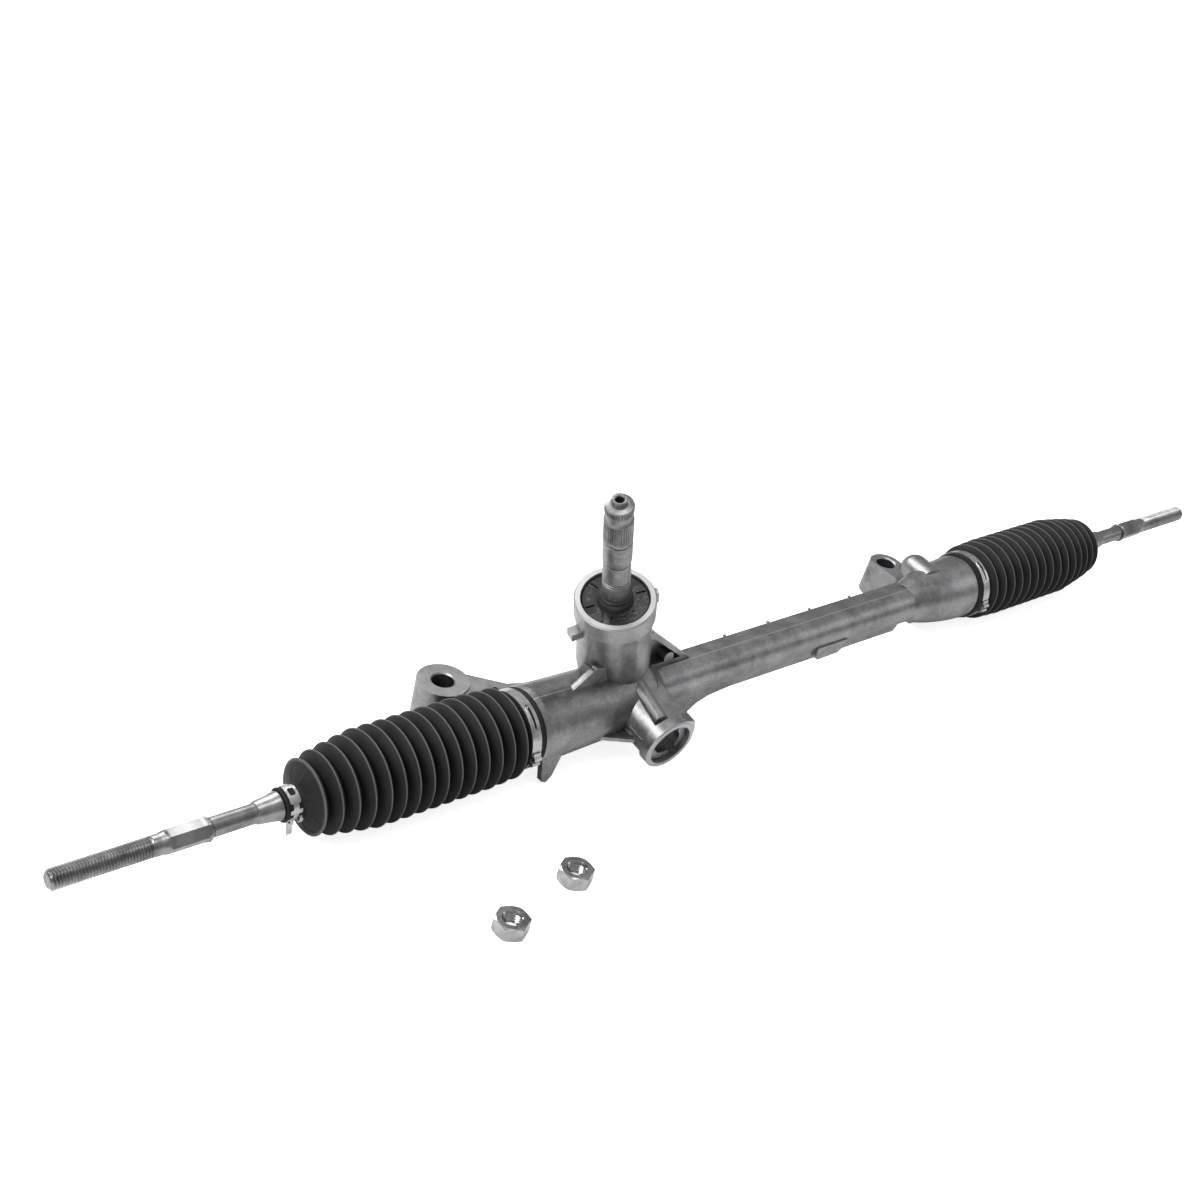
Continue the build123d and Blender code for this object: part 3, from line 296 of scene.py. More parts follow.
def run_tree(piece, tree, **values):
    """Runs a tree on a piece; an input such as Half Width is given as half_width."""
    modifier = piece.modifiers.new(tree.name, "NODES")
    modifier.node_group = tree
    for item in tree.interface.items_tree:
        wanted = item.name.replace(" ", "_").lower()
        if wanted in values:
            modifier[item.identifier] = values[wanted]
    keep_result(piece, modifier)


# %% [markdown]
# A thread is rolled between dies, which press a helical groove into the round bar. The height divided by
# the pitch, less the angle as a share of a turn, says how far round the helix a point is. So one
# fraction draws the whole groove, on any ring of points, and it fades out at both ends.

# %% Geometry Nodes: roll a thread
GROOVE_SLOPE = 1.35
ROOT_SHARE = 0.12
RUNOUT_SHARE = 0.8


def thread_tree():
    """Presses a helical groove between two heights; Reach limits it to points near the axis."""
    board, entry, size = operation_tree("roll_thread", ("Start", "End", "Pitch", "Depth", "Reach"))
    x, y, z, distance, angle = place_of_points(board)
    phase = (z / size["Pitch"] - angle / (2 * pi)).fraction()
    wedge = ((phase * 2 - 1).size() * GROOVE_SLOPE - ROOT_SHARE).clamped()
    runout = size["Pitch"] * RUNOUT_SHARE
    begin = z.between(size["Start"] - runout, size["Start"] + runout)
    finish = 1 - z.between(size["End"] - runout, size["End"] + runout)
    near = distance < size["Reach"]
    groove = wedge * begin * finish * near * size["Depth"]
    close_operation(board, entry, x, y, z, distance, distance - groove)
    return board.tree


# %% [markdown]
# The wrench flats are milled. A round cutter leaves a curved runout at each end, and that curve is what
# the eye takes for a forged hexagon. The tree lets no point stand further out than the nearest flat.

# %% Geometry Nodes: mill a hexagon


def hexagon_tree():
    """Mills six flats whose ends run out with the cutter's radius."""
    board, entry, size = operation_tree("mill_hexagon", ("Start", "End", "Half Width", "Cutter"))
    x, y, z, distance, angle = place_of_points(board)
    past = (size["Start"] - z).most(z - size["End"]).most(0.0)
    height = size["Half Width"] + past * past / (size["Cutter"] * 2)
    sixth = pi / 3
    within = ((angle / sixth + 0.5).fraction() - 0.5) * sixth
    close_operation(board, entry, x, y, z, distance, distance.least(height / within.cosine()))
    return board.tree


# %% [markdown]
# Splines are straight grooves round a shaft, so a cosine of the angle makes them, flattened at its top
# for the teeth's lands. The serrated disc at the top of the pinion is cut by the same tree.

# %% Geometry Nodes: cut splines
WAVE_STEEPNESS = 1.1
WAVE_MIDDLE = 0.5


def splines_tree():
    """Cuts straight grooves round a bar between two heights."""
    board, entry, size = operation_tree("cut_splines", ("Start", "End", "Count", "Depth", "Runout"))
    x, y, z, distance, angle = place_of_points(board)
    wave = ((angle * size["Count"]).cosine() * WAVE_STEEPNESS + WAVE_MIDDLE).clamped()
    begin = z.between(size["Start"] - size["Runout"], size["Start"] + size["Runout"])
    finish = 1 - z.between(size["End"] - size["Runout"], size["End"] + size["Runout"])
    close_operation(board, entry, x, y, z, distance, distance - wave * begin * finish * size["Depth"])
    return board.tree


ROLL_THREAD = thread_tree()
MILL_HEXAGON = hexagon_tree()
CUT_SPLINES = splines_tree()
print("operations:", ROLL_THREAD.name, MILL_HEXAGON.name, CUT_SPLINES.name)

# %% [markdown]
# A turned blank is a stack of rings. Corners are kept as they are, and the long stretches between them
# are divided as finely as the later operation needs: a thread of 2 mm pitch wants eight rings a turn.

# %% Turned blanks


def divided(corners, steps):
    """Corner list with extra points: steps is a list of (low, high, step) stretches by height."""
    points = [corners[0]]
    for (r0, z0), (r1, z1) in zip(corners, corners[1:]):
        middle = (z0 + z1) / 2
        step = min([s for low, high, s in steps if low <= middle <= high] or [1.0])
        count = max(1, ceil(max(abs(z1 - z0), abs(r1 - r0)) / step))
        for part in range(1, count + 1):
            share = part / count
            points.append((r0 + (r1 - r0) * share, z0 + (z1 - z0) * share))
    return points


def new_piece(name, data):
    """Object for a mesh or curve, in the scene and at its origin."""
    piece = bpy.data.objects.new(name, data)
    bpy.context.scene.collection.objects.link(piece)
    return piece


def piece_from(name, form):
    """Object from a bmesh form, which it uses up."""
    mesh = bpy.data.meshes.new(name)
    form.to_mesh(mesh)
    form.free()
    return new_piece(name, mesh)


def turned(name, corners, segments=64, steps=()):
    """Closed turned mesh about local Z from (radius, height) corners. Zero radius makes a pole."""
    form = bmesh.new()
    turns = [2 * pi * k / segments for k in range(segments)]
    rings = []
    for radius, height in divided(corners, steps):
        if radius < 1e-6:
            rings.append([form.verts.new((0, 0, height))])
            continue
        rings.append([form.verts.new((radius * cos(turn), radius * sin(turn), height)) for turn in turns])
    pairs = list(zip(rings, rings[1:]))
    if len(rings[0]) > 1:
        pairs.append((rings[-1], rings[0]))
    for low, high in pairs:
        for k in range(segments):
            following = (k + 1) % segments
            if len(low) == 1:
                form.faces.new((low[0], high[following], high[k]))
            elif len(high) == 1:
                form.faces.new((low[k], low[following], high[0]))
            else:
                form.faces.new((low[k], low[following], high[following], high[k]))
    bmesh.ops.recalc_face_normals(form, faces=form.faces)
    return piece_from(name, form)


# %% [markdown]
# Every piece ends in the same way. Its mesh moves to its place, so the object itself stays at the
# origin. Its faces are shaded smooth with sharp edges kept, and it is told which body it rides on.

# %% Finishing a piece
SHARP = radians(32)


def finish_piece(piece, place, material, body):
    """Puts a finished piece in its place, sets its shading and lets it ride."""
    piece.data.transform(place)
    piece.data.materials.clear()
    piece.data.materials.append(material)
    for face in piece.data.polygons:
        face.use_smooth = True
    piece.data.set_sharp_from_angle(angle=SHARP)
    if body:
        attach(piece, body)
    print(piece.name, len(piece.data.polygons), "faces")
    return piece


# %% [markdown]
# Finishes. Each is a Principled shader whose colour, roughness and bump come from noise at the scale
# of the real surface. The patterns read Object coordinates in metres, so a noise scale of 1000 has
# features of about a millimetre.

# %% Material helpers


def grain(board, scale, detail=3.0, stretch=(1, 1, 1), roughness=0.55):
    """Noise over Object coordinates, from 0 to 1."""
    spot = board.add("ShaderNodeTexCoord")
    lay = board.add("ShaderNodeMapping", {"Vector": board.out(spot, "Object"), "Scale": stretch})
    cloud = board.add("ShaderNodeTexNoise", {
        "Vector": board.out(lay), "Scale": scale, "Detail": detail, "Roughness": roughness,
    })
    return board.out(cloud, 0)


def mixed(board, share, first, second):
    """Colour that goes from first to second."""
    blend = board.add("ShaderNodeMix", {"Factor": share}, data_type="RGBA")
    board.feed(blend.inputs[6], first)
    board.feed(blend.inputs[7], second)
    return board.out(blend, 2)


def bumped(board, height, strength, depth):
    """Normal from a height field."""
    bump = board.add("ShaderNodeBump", {"Height": height, "Strength": strength, "Distance": depth})
    return board.out(bump)


def grey(level):
    return (level, level * 1.005, level * 1.015, 1.0)


def new_material(name, build, **constants):
    """A Principled material; build returns what varies over the surface."""
    material = bpy.data.materials.new(name)
    material.use_nodes = True
    board = Board(material.node_tree)
    shader = board.add("ShaderNodeBsdfPrincipled", constants)
    for socket, value in build(board).items():
        board.feed(shader.inputs[socket], value)
    output = board.add("ShaderNodeOutputMaterial")
    board.feed(output.inputs["Surface"], board.out(shader))
    return material


def local_height(board, origin, axis):
    """Distance of each point along an axis, and its distance from that axis, in metres."""
    spot = board.out(board.add("ShaderNodeTexCoord"), "Object")
    away = board.add("ShaderNodeVectorMath", operation="SUBTRACT")
    board.feed(away.inputs[0], spot)
    board.feed(away.inputs[1], tuple(origin))
    along = board.add("ShaderNodeVectorMath", operation="DOT_PRODUCT")
    board.feed(along.inputs[0], board.out(away))
    board.feed(along.inputs[1], tuple(axis))
    length = board.add("ShaderNodeVectorMath", operation="LENGTH")
    board.feed(length.inputs[0], board.out(away))
    height = board.out(along, "Value")
    reach = board.out(length, "Value")
    return height, (reach * reach - height * height).most(0.0).root()


# %% [markdown]
# The housing is die cast aluminium: grey, faintly stained and pitted, brighter where a tool has cut the
# tower's top, the yoke's rim and the lugs, with a thin raised line where the mould's halves met. Noise
# at three scales gives the skin. The cut faces are found by where they are, as the model keeps them.

# %% Cast aluminium
RIM = 97.5
RIM_HEIGHT = RIM * MM
BAND_BOTTOM = RIM_HEIGHT - 16 * MM
STEP_HEIGHT = RIM_HEIGHT - 25 * MM
TOWER_REACH = 40 * MM
YOKE_FACE = 56 * MM
YOKE_REACH = 30 * MM
LUG_REACH = 24 * MM
LUG_FACES = ((-0.244, 0.045), (0.244, 0.0295))
FLASH_LINES = ((-0.085, 0.2, -2.5 * MM), (-0.3, -0.152, -6 * MM))
FLASH_WIDTH = 0.55 * MM
BAND_CUT = 0.4
LUG_CUT = 0.35


def object_place(board):
    """X, Y and Z of each point in Object coordinates."""
    spot = board.out(board.add("ShaderNodeTexCoord"), "Object")
    parts = board.add("ShaderNodeSeparateXYZ", {"Vector": spot})
    return [board.out(parts, way) for way in "XYZ"]


def near(value, middle, reach):
    """1 where a value is at the middle, falling to 0 at the reach."""
    return 1 - ((value - middle).size() / reach).least(1.0)


def faced(board):
    """How far a tool has cut each face, and 1 along the tower's two steps, where a highlight is painted."""
    x, y, z = object_place(board)
    height, distance = local_height(board, PINION_POINT, PINION_AXIS)
    on_tower = distance < TOWER_REACH
    found = height.between(BAND_BOTTOM, BAND_BOTTOM + 0.5 * MM) * on_tower * BAND_CUT
    found = found.most((height > RIM_HEIGHT - 0.8 * MM) * on_tower)
    reach, width = local_height(board, (PINION_POINT.x, RACK_POINT.y, RACK_POINT.z), -TO_PINION)
    found = found.most((reach > YOKE_FACE) * (width < YOKE_REACH))
    for middle, top in LUG_FACES:
        across = ((x - middle) * (x - middle) + y * y).root()
        found = found.most((across < LUG_REACH) * ((z - top).size() < 0.5 * MM) * LUG_CUT)
    # Painted highlight: a thin ring at each of the tower's two steps.
    step = near(height, BAND_BOTTOM, 0.7 * MM).most(near(height, STEP_HEIGHT, 0.6 * MM) * 0.6)
    return found, step * on_tower


def flash(board):
    """1 on the thin line where the two halves of the mould met."""
    x, y, z = object_place(board)
    upper = (z > RACK_POINT.z + 12 * MM) * (z < RACK_POINT.z + 33 * MM)
    first, second = (
        near(y, RACK_POINT.y + side, FLASH_WIDTH) * (x > start) * (x < end)
        for start, end, side in FLASH_LINES
    )
    return first.most(second) * upper


def cast_skin(board):
    """Grey die cast skin, stained and pitted, brighter where a tool has faced it, with a painted highlight along
    the tower's steps.
    """
    stain = grain(board, 26, 4)
    cloud = grain(board, 110, 4)
    pits = grain(board, 480, 4)
    tooled, step = faced(board)
    line = flash(board)
    level = (stain * 0.45 + cloud * 0.3 + pits * 0.25).between(0.38, 0.62)
    colour = mixed(board, level, grey(0.16), grey(0.34))
    colour = mixed(board, tooled * 0.75, colour, grey(0.47))
    # Painted highlight on the tower's steps, mixed towards pale grey; the flash line is made lighter in the same
    # mix.
    colour = mixed(board, (step + line * 0.7).least(1.0), colour, grey(0.65))
    relief = (cloud * 0.7 + pits * 0.4) * (1 - tooled * 0.8) + line * 0.6
    return {
        "Base Color": colour,
        "Roughness": 0.29 + cloud * 0.17 + tooled * 0.1,
        "Normal": bumped(board, relief, 0.4, 0.3 * MM),
    }


CAST = new_material("cast_aluminium_skin", cast_skin, Metallic=1.0)
print("cut faces on the tower from", round(BAND_BOTTOM / MM, 1), "mm up the pinion's axis")

# %% [markdown]
# Five steels take part, and they differ by how they were last worked: the rods and the rack are turned,
# the pinion is dull with oil, the nuts are zinc plated, the clamps are rolled strip and the bearings are
# ground. Each is the same metal shader with its own grey, its own roughness and its own fine marks.

# %% Steel finishes


def turned_steel(dark, light, lines):
    """Finish of a turned steel bar along X, with fine tool lines round it."""

    def build(board):
        cloud = grain(board, 70, 4)
        ringed = grain(board, 260, 2, (lines, 1, 1))
        colour = mixed(board, cloud.between(0.35, 0.65), grey(dark), grey(light))
        return {
            "Base Color": colour,
            "Roughness": 0.27 + cloud * 0.14,
            "Normal": bumped(board, ringed, 0.25, 0.05 * MM),
        }

    return build


def oiled_steel(board):
    """Dull pinion steel with wiped oil and marks of handling."""
    cloud = grain(board, 90, 4)
    marks = grain(board, 420, 3)
    worn = (marks * 0.4 + cloud * 0.6).between(0.4, 0.62)
    return {
        "Base Color": mixed(board, worn, grey(0.17), grey(0.3)),
        "Roughness": 0.33 + marks * 0.16,
        "Normal": bumped(board, marks, 0.25, 0.1 * MM),
    }


def zinc_plate(board):
    """Bright zinc with drawn lines down the sides."""
    cloud = grain(board, 160, 3)
    lines = grain(board, 900, 2, (1, 1, 0.15))
    return {
        "Base Color": mixed(board, cloud.between(0.35, 0.65), grey(0.3), grey(0.42)),
        "Roughness": 0.14 + lines * 0.1,
        "Normal": bumped(board, lines, 0.2, 0.05 * MM),
    }


def band_steel(board):
    """Stainless strip with rolling lines."""
    cloud = grain(board, 240, 3)
    return {
        "Base Color": mixed(board, cloud.between(0.3, 0.7), grey(0.36), grey(0.56)),
        "Roughness": 0.24 + cloud * 0.16,
        "Normal": bumped(board, cloud, 0.2, 0.08 * MM),
    }


def ground_steel(board):
    """Ground bearing steel."""
    cloud = grain(board, 300, 2)
    return {"Base Color": mixed(board, cloud, grey(0.5), grey(0.62)), "Roughness": 0.16 + cloud * 0.08}


ROD_STEEL = new_material("tie_rod_steel", turned_steel(0.165, 0.3, 6), Metallic=1.0)
PINION_STEEL = new_material("pinion_steel", oiled_steel, Metallic=1.0)
RACK_STEEL = new_material("rack_steel", turned_steel(0.2, 0.33, 8), Metallic=1.0)
ZINC = new_material("zinc_plate", zinc_plate, Metallic=1.0)
BAND = new_material("clamp_band", band_steel, Metallic=1.0)
BEARING = new_material("bearing_steel", ground_steel, Metallic=1.0)

# %% [markdown]
# Black rubber isn't one black. Each crest of a bellows gets a pale line that is partly scuffing and partly a
# painted highlight, and each valley gets painted shade, so the colour follows an attribute that the bellows' own
# tree writes on each point: 0 on a crest and 1 in a valley. The ring round the pinion is moulded, and wet with
# grease in front.

# %% Rubber, plastic and grease


def bellows_rubber(board):
    """Matt black rubber: a pale crest line, part scuffing and part painted highlight, and painted shade down in
    each valley.
    """
    cloud = grain(board, 45, 4)
    fine = grain(board, 900, 2)
    fold = board.out(board.add("ShaderNodeAttribute", attribute_name="fold"), "Fac")
    base = mixed(board, cloud.between(0.35, 0.7), grey(0.008), grey(0.015))
    # Painted shade: each valley is darkened towards black.
    base = mixed(board, fold.between(0.35, 1.0), base, grey(0.003))
    # Partly painted highlight, partly scuffing: a pale line along each crest.
    crest_scuff_and_highlight = 1 - fold.between(0.03, 0.14)
    return {
        "Base Color": mixed(board, crest_scuff_and_highlight * 0.85, base, grey(0.11)),
        "Roughness": 0.58 + cloud * 0.14,
        "Normal": bumped(board, fine + cloud * 0.6, 0.25, 0.08 * MM),
    }


def moulded_black(board):
    """Black moulded part with a faint mould texture."""
    cloud = grain(board, 300, 3)
    fine = grain(board, 2500, 2)
    return {
        "Base Color": mixed(board, cloud, grey(0.012), grey(0.03)),
        "Roughness": 0.34 + cloud * 0.2,
        "Normal": bumped(board, fine, 0.3, 0.06 * MM),
    }


def greasy_ring(board):
    """Black moulded ring, wet with grease on the side that faces the yoke."""
    cloud = grain(board, 130, 4)
    blobs = grain(board, 420, 3)
    across = object_place(board)[1]
    front = (PINION_POINT.y - 10 * MM - across).between(0.0, 12 * MM)
    wet = (cloud + front * 0.25).between(0.55, 0.62)
    return {
        "Base Color": mixed(board, cloud.between(0.3, 0.7), grey(0.005), grey(0.018)),
        "Roughness": 0.46 - wet * 0.36,
        "Coat Weight": wet,
        "Normal": bumped(board, blobs * wet * 2 + cloud, 0.6, 0.5 * MM),
    }


RUBBER = new_material("bellows_rubber", bellows_rubber, **{"Specular IOR Level": 0.2})
BLACK = new_material("moulded_black", moulded_black, **{"Specular IOR Level": 0.35})
GREASY = new_material("greasy_ring", greasy_ring, **{"Specular IOR Level": 0.3})
print("finishes:", len(bpy.data.materials))

# %% [markdown]
# Most of the model's own pieces have the right shape, so they keep it and only get a finish.

# %% Finish the model's own pieces
FINISHES = {
    "cast_aluminium": CAST, "dark_steel": RACK_STEEL, "bright_steel": BEARING, "zinc_steel": ZINC,
    "clamp_steel": BAND, "spring_steel": BEARING, "black_rubber": BLACK, "black_polymer": BLACK,
}
for part in frame["record"]["subparts"]:
    node = NODES[part["node"]]
    for place in range(len(node.data.materials)):
        node.data.materials[place] = FINISHES[part["material_slot"]]
NODES["pinion_lock_nut"].data.materials[0] = GREASY
NODES["yoke_plug"].data.materials[0] = RACK_STEEL

# %% [markdown]
# The tie rods are forged and turned bars. The photograph shows a rolled thread, a neck, a wrench
# hexagon whose ends run out round, a shank, and a cone that ends at the bellows. The blank has all of the
# turned steps, and the two operation trees do the rest.

# %% Tie rods
BALL_DISTANCE = 78.0
TIP_DISTANCE = 354.0
THREAD_LENGTH = 67.5
THREAD_RADIUS = 7.0
THREAD_PITCH = 2.0
THREAD_DEPTH = 1.1
NECK_LENGTH = 6.0
FLAT_LENGTH = 31.5
FLAT_RADIUS = 8.6
FLAT_WIDTH = 14.0
CUTTER_RADIUS = 7.0
SHANK_LENGTH = 33.0
SHANK_RADIUS = 6.7
CONE_LENGTH = 17.0
CONE_RADIUS = 10.0
GROOVE_LENGTH = 14.5
GROOVE_RADIUS = 8.0
ROD_RADIUS = 8.6
BALL_RADIUS = 12.35
BALL_OUTLINE = radians(145.4)
BALL_NECK_RADIUS = 7.0
THREAD_START = TIP_DISTANCE - THREAD_LENGTH
FLAT_END = THREAD_START - NECK_LENGTH
FLAT_START = FLAT_END - FLAT_LENGTH
CONE_END = FLAT_START - SHANK_LENGTH
CONE_START = CONE_END - CONE_LENGTH
GROOVE_START = CONE_START - GROOVE_LENGTH


def rod_corners():
    """Turned outline of the tie rod, from the ball to the threaded tip."""
    angles = [BALL_OUTLINE * k / 14 for k in range(1, 15)]
    ball = [(BALL_RADIUS * sin(angle), BALL_DISTANCE - BALL_RADIUS * cos(angle)) for angle in angles]
    return [(0, BALL_DISTANCE - BALL_RADIUS)] + ball + [
        (BALL_NECK_RADIUS, BALL_DISTANCE + 22), (ROD_RADIUS, BALL_DISTANCE + 30),
        (ROD_RADIUS, GROOVE_START - 2), (ROD_RADIUS + 0.8, GROOVE_START - 1),
        (ROD_RADIUS + 0.8, GROOVE_START), (GROOVE_RADIUS, GROOVE_START), (GROOVE_RADIUS, CONE_START),
        (CONE_RADIUS, CONE_START), (CONE_RADIUS, CONE_START + 0.8), (CONE_RADIUS - 0.8, CONE_START + 4),
        (SHANK_RADIUS + 1.1, CONE_END - 1.5), (SHANK_RADIUS + 0.7, CONE_END - 0.4),
        (SHANK_RADIUS, CONE_END), (SHANK_RADIUS, FLAT_START - 2.2), (SHANK_RADIUS - 0.5, FLAT_START - 2.0),
        (SHANK_RADIUS - 0.5, FLAT_START - 0.8), (FLAT_RADIUS - 0.7, FLAT_START - 0.6),
        (FLAT_RADIUS, FLAT_START + 0.2), (FLAT_RADIUS, FLAT_END - 6), (THREAD_RADIUS, FLAT_END + 1),
        (THREAD_RADIUS, TIP_DISTANCE - 1.8), (THREAD_RADIUS - 1.8, TIP_DISTANCE),
        (THREAD_RADIUS - 2.4, TIP_DISTANCE), (THREAD_RADIUS - 3.4, TIP_DISTANCE - 0.6),
        (0, TIP_DISTANCE - 0.6),
    ]


def tie_rod(side):
    """Detailed tie rod of one side, in place."""
    rod = turned(side + "_rod", rod_corners(), 48, [
        (BALL_DISTANCE, FLAT_START - 2, 4.0), (FLAT_START - 0.5, FLAT_END, 0.7),
        (FLAT_END, TIP_DISTANCE - 1.5, 0.25),
    ])
    run_tree(
        rod, MILL_HEXAGON, start=FLAT_START + 4.5, end=FLAT_END - 5.0,
        half_width=FLAT_WIDTH / 2, cutter=CUTTER_RADIUS, finish=ROD_STEEL,
    )
    run_tree(
        rod, ROLL_THREAD, start=THREAD_START + 1.0, end=TIP_DISTANCE - 0.4, pitch=THREAD_PITCH,
        depth=THREAD_DEPTH, reach=THREAD_RADIUS + 0.2, finish=ROD_STEEL,
    )
    finish_piece(rod, outward_line(side) @ TO_METRES, ROD_STEEL, side + "_tie_rod")
    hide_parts(side + "_tie_rod")


for side in ("left", "right"):
    tie_rod(side)

# %% [markdown]
# The pinion's input end carries fine splines, a waist for the pinch bolt and a serrated disc. Below the
# seal the model's own shaft, with its helical teeth, is right as it is, so a copy of that part is cut
# off and kept, and only the visible end is made again.

# %% Pinion shaft
CUT = 88.0
SHAFT_RADIUS = 10.0
SPLINE_RADIUS = 10.45
WAIST_RADIUS = 9.2
DISC_RADIUS = 10.3
INPUT_TOP = RIM + 103.2
SPLINE_COUNT = 36.0
SPLINE_CUTS = ((RIM + 66.5, RIM + 83.6, 0.75), (RIM + 91.8, RIM + 96.6, 1.2))


def round_groove(radius, bottom, top, depth=0.6):
    """Corners of a small groove round the shaft."""
    return [(radius, bottom), (radius - depth, bottom + 0.25), (radius - depth, top - 0.25), (radius, top)]


def input_corners():
    """Turned outline of the pinion's input end, upwards from the cut."""
    return [
        (0, CUT), (SHAFT_RADIUS, CUT),
        *round_groove(SHAFT_RADIUS, RIM + 20, RIM + 21.2),
        *round_groove(SHAFT_RADIUS, RIM + 22.6, RIM + 23.8),
        *round_groove(SHAFT_RADIUS, RIM + 41, RIM + 42.3, 0.8),
        (SHAFT_RADIUS, RIM + 43), (SPLINE_RADIUS, RIM + 44),
        *round_groove(SPLINE_RADIUS, RIM + 62.5, RIM + 64, 0.8),
        (SPLINE_RADIUS, RIM + 84.5), (SPLINE_RADIUS - 0.6, RIM + 85.6),
        (WAIST_RADIUS, RIM + 87), (WAIST_RADIUS, RIM + 91),
        (DISC_RADIUS - 0.3, RIM + 92.4), (DISC_RADIUS, RIM + 93), (DISC_RADIUS, RIM + 97.6),
        (DISC_RADIUS - 0.5, RIM + 98.5), (6.7, RIM + 99.5), (5.5, RIM + 99.5),
        (5.3, RIM + 100), (5.3, INPUT_TOP - 0.8), (4.7, INPUT_TOP),
        (3.6, INPUT_TOP), (3.0, INPUT_TOP - 0.7), (3.0, INPUT_TOP - 12), (0, INPUT_TOP - 13.5),
    ]


def lower_shaft():
    """Copy of the model's shaft below the cut."""
    form = bmesh.new()
    form.from_mesh(NODES["pinion_shaft"].data)
    bmesh.ops.remove_doubles(form, verts=form.verts, dist=1e-6)
    bmesh.ops.bisect_plane(
        form, geom=form.verts[:] + form.edges[:] + form.faces[:], dist=1e-7,
        plane_co=PINION_POINT + PINION_AXIS * CUT * MM, plane_no=PINION_AXIS, clear_outer=True,
    )
    rim = [edge for edge in form.edges if edge.is_boundary]
    bmesh.ops.contextual_create(form, geom=rim)
    bmesh.ops.recalc_face_normals(form, faces=form.faces)
    return piece_from("pinion_lower", form)


def pinion_input():
    """Splined input end."""
    bar = turned("pinion_input", input_corners(), 288, [
        (CUT, RIM + 64, 6.0), (RIM + 65, RIM + 87, 0.8), (RIM + 87, RIM + 91, 1.5), (RIM + 91, RIM + 99, 0.6),
    ])
    for low, high, depth in SPLINE_CUTS:
        run_tree(
            bar, CUT_SPLINES, start=low, end=high, count=SPLINE_COUNT, depth=depth, runout=0.7,
            finish=PINION_STEEL,
        )
    return bar


shaft = finish_piece(pinion_input(), PINION_LINE @ TO_METRES, PINION_STEEL, "pinion")
stub = finish_piece(lower_shaft(), Matrix.Identity(4), PINION_STEEL, "pinion")
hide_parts("pinion_shaft")
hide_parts("pinion_shaft")

# %% [markdown]
# Each bellows is one moulded rubber tube with fifteen folds, of which the five nearest the tie rod are
# smaller. The tree wraps a flat grid round the axis, with a radius that follows a rule: a zigzag, half
# straight and half arched, hangs from an outer line, with a small bead on each crest. A cone with seven
# low ridges closes the outer end. The fold number also goes on each point, for the rubber's colour.

# %% Geometry Nodes: bellows
CREST_PITCH = 11.34
CREST_COUNT = 15
LAST_CREST = 19.8
FIRST_CREST = LAST_CREST + (CREST_COUNT - 1) * CREST_PITCH
CREST_RADIUS = 34.0
TIP_CREST_RADIUS = 26.1
GROWING = 4
FOLD_DEPTH = 8.4
CUFF_RADIUS = 28.4
SMALL_CUFF_START = 185.0
SMALL_CUFF_END = 198.0
SMALL_CUFF_RADIUS = 11.0
RIDGES = 7
RIDGE_HEIGHT = 1.5
RIDGE_SHARPNESS = 14.0
CONE_STEP = 1.2
LIP_HEIGHT = 1.0
LIP_REACH = 1.2
END_FOLD_DROP = 1.2
BEAD_REACH = 0.075
VALLEY_ROUNDING = 0.008
VALLEY_LIFT = 0.09
WELD = 0.001
FAR_OUT = 99


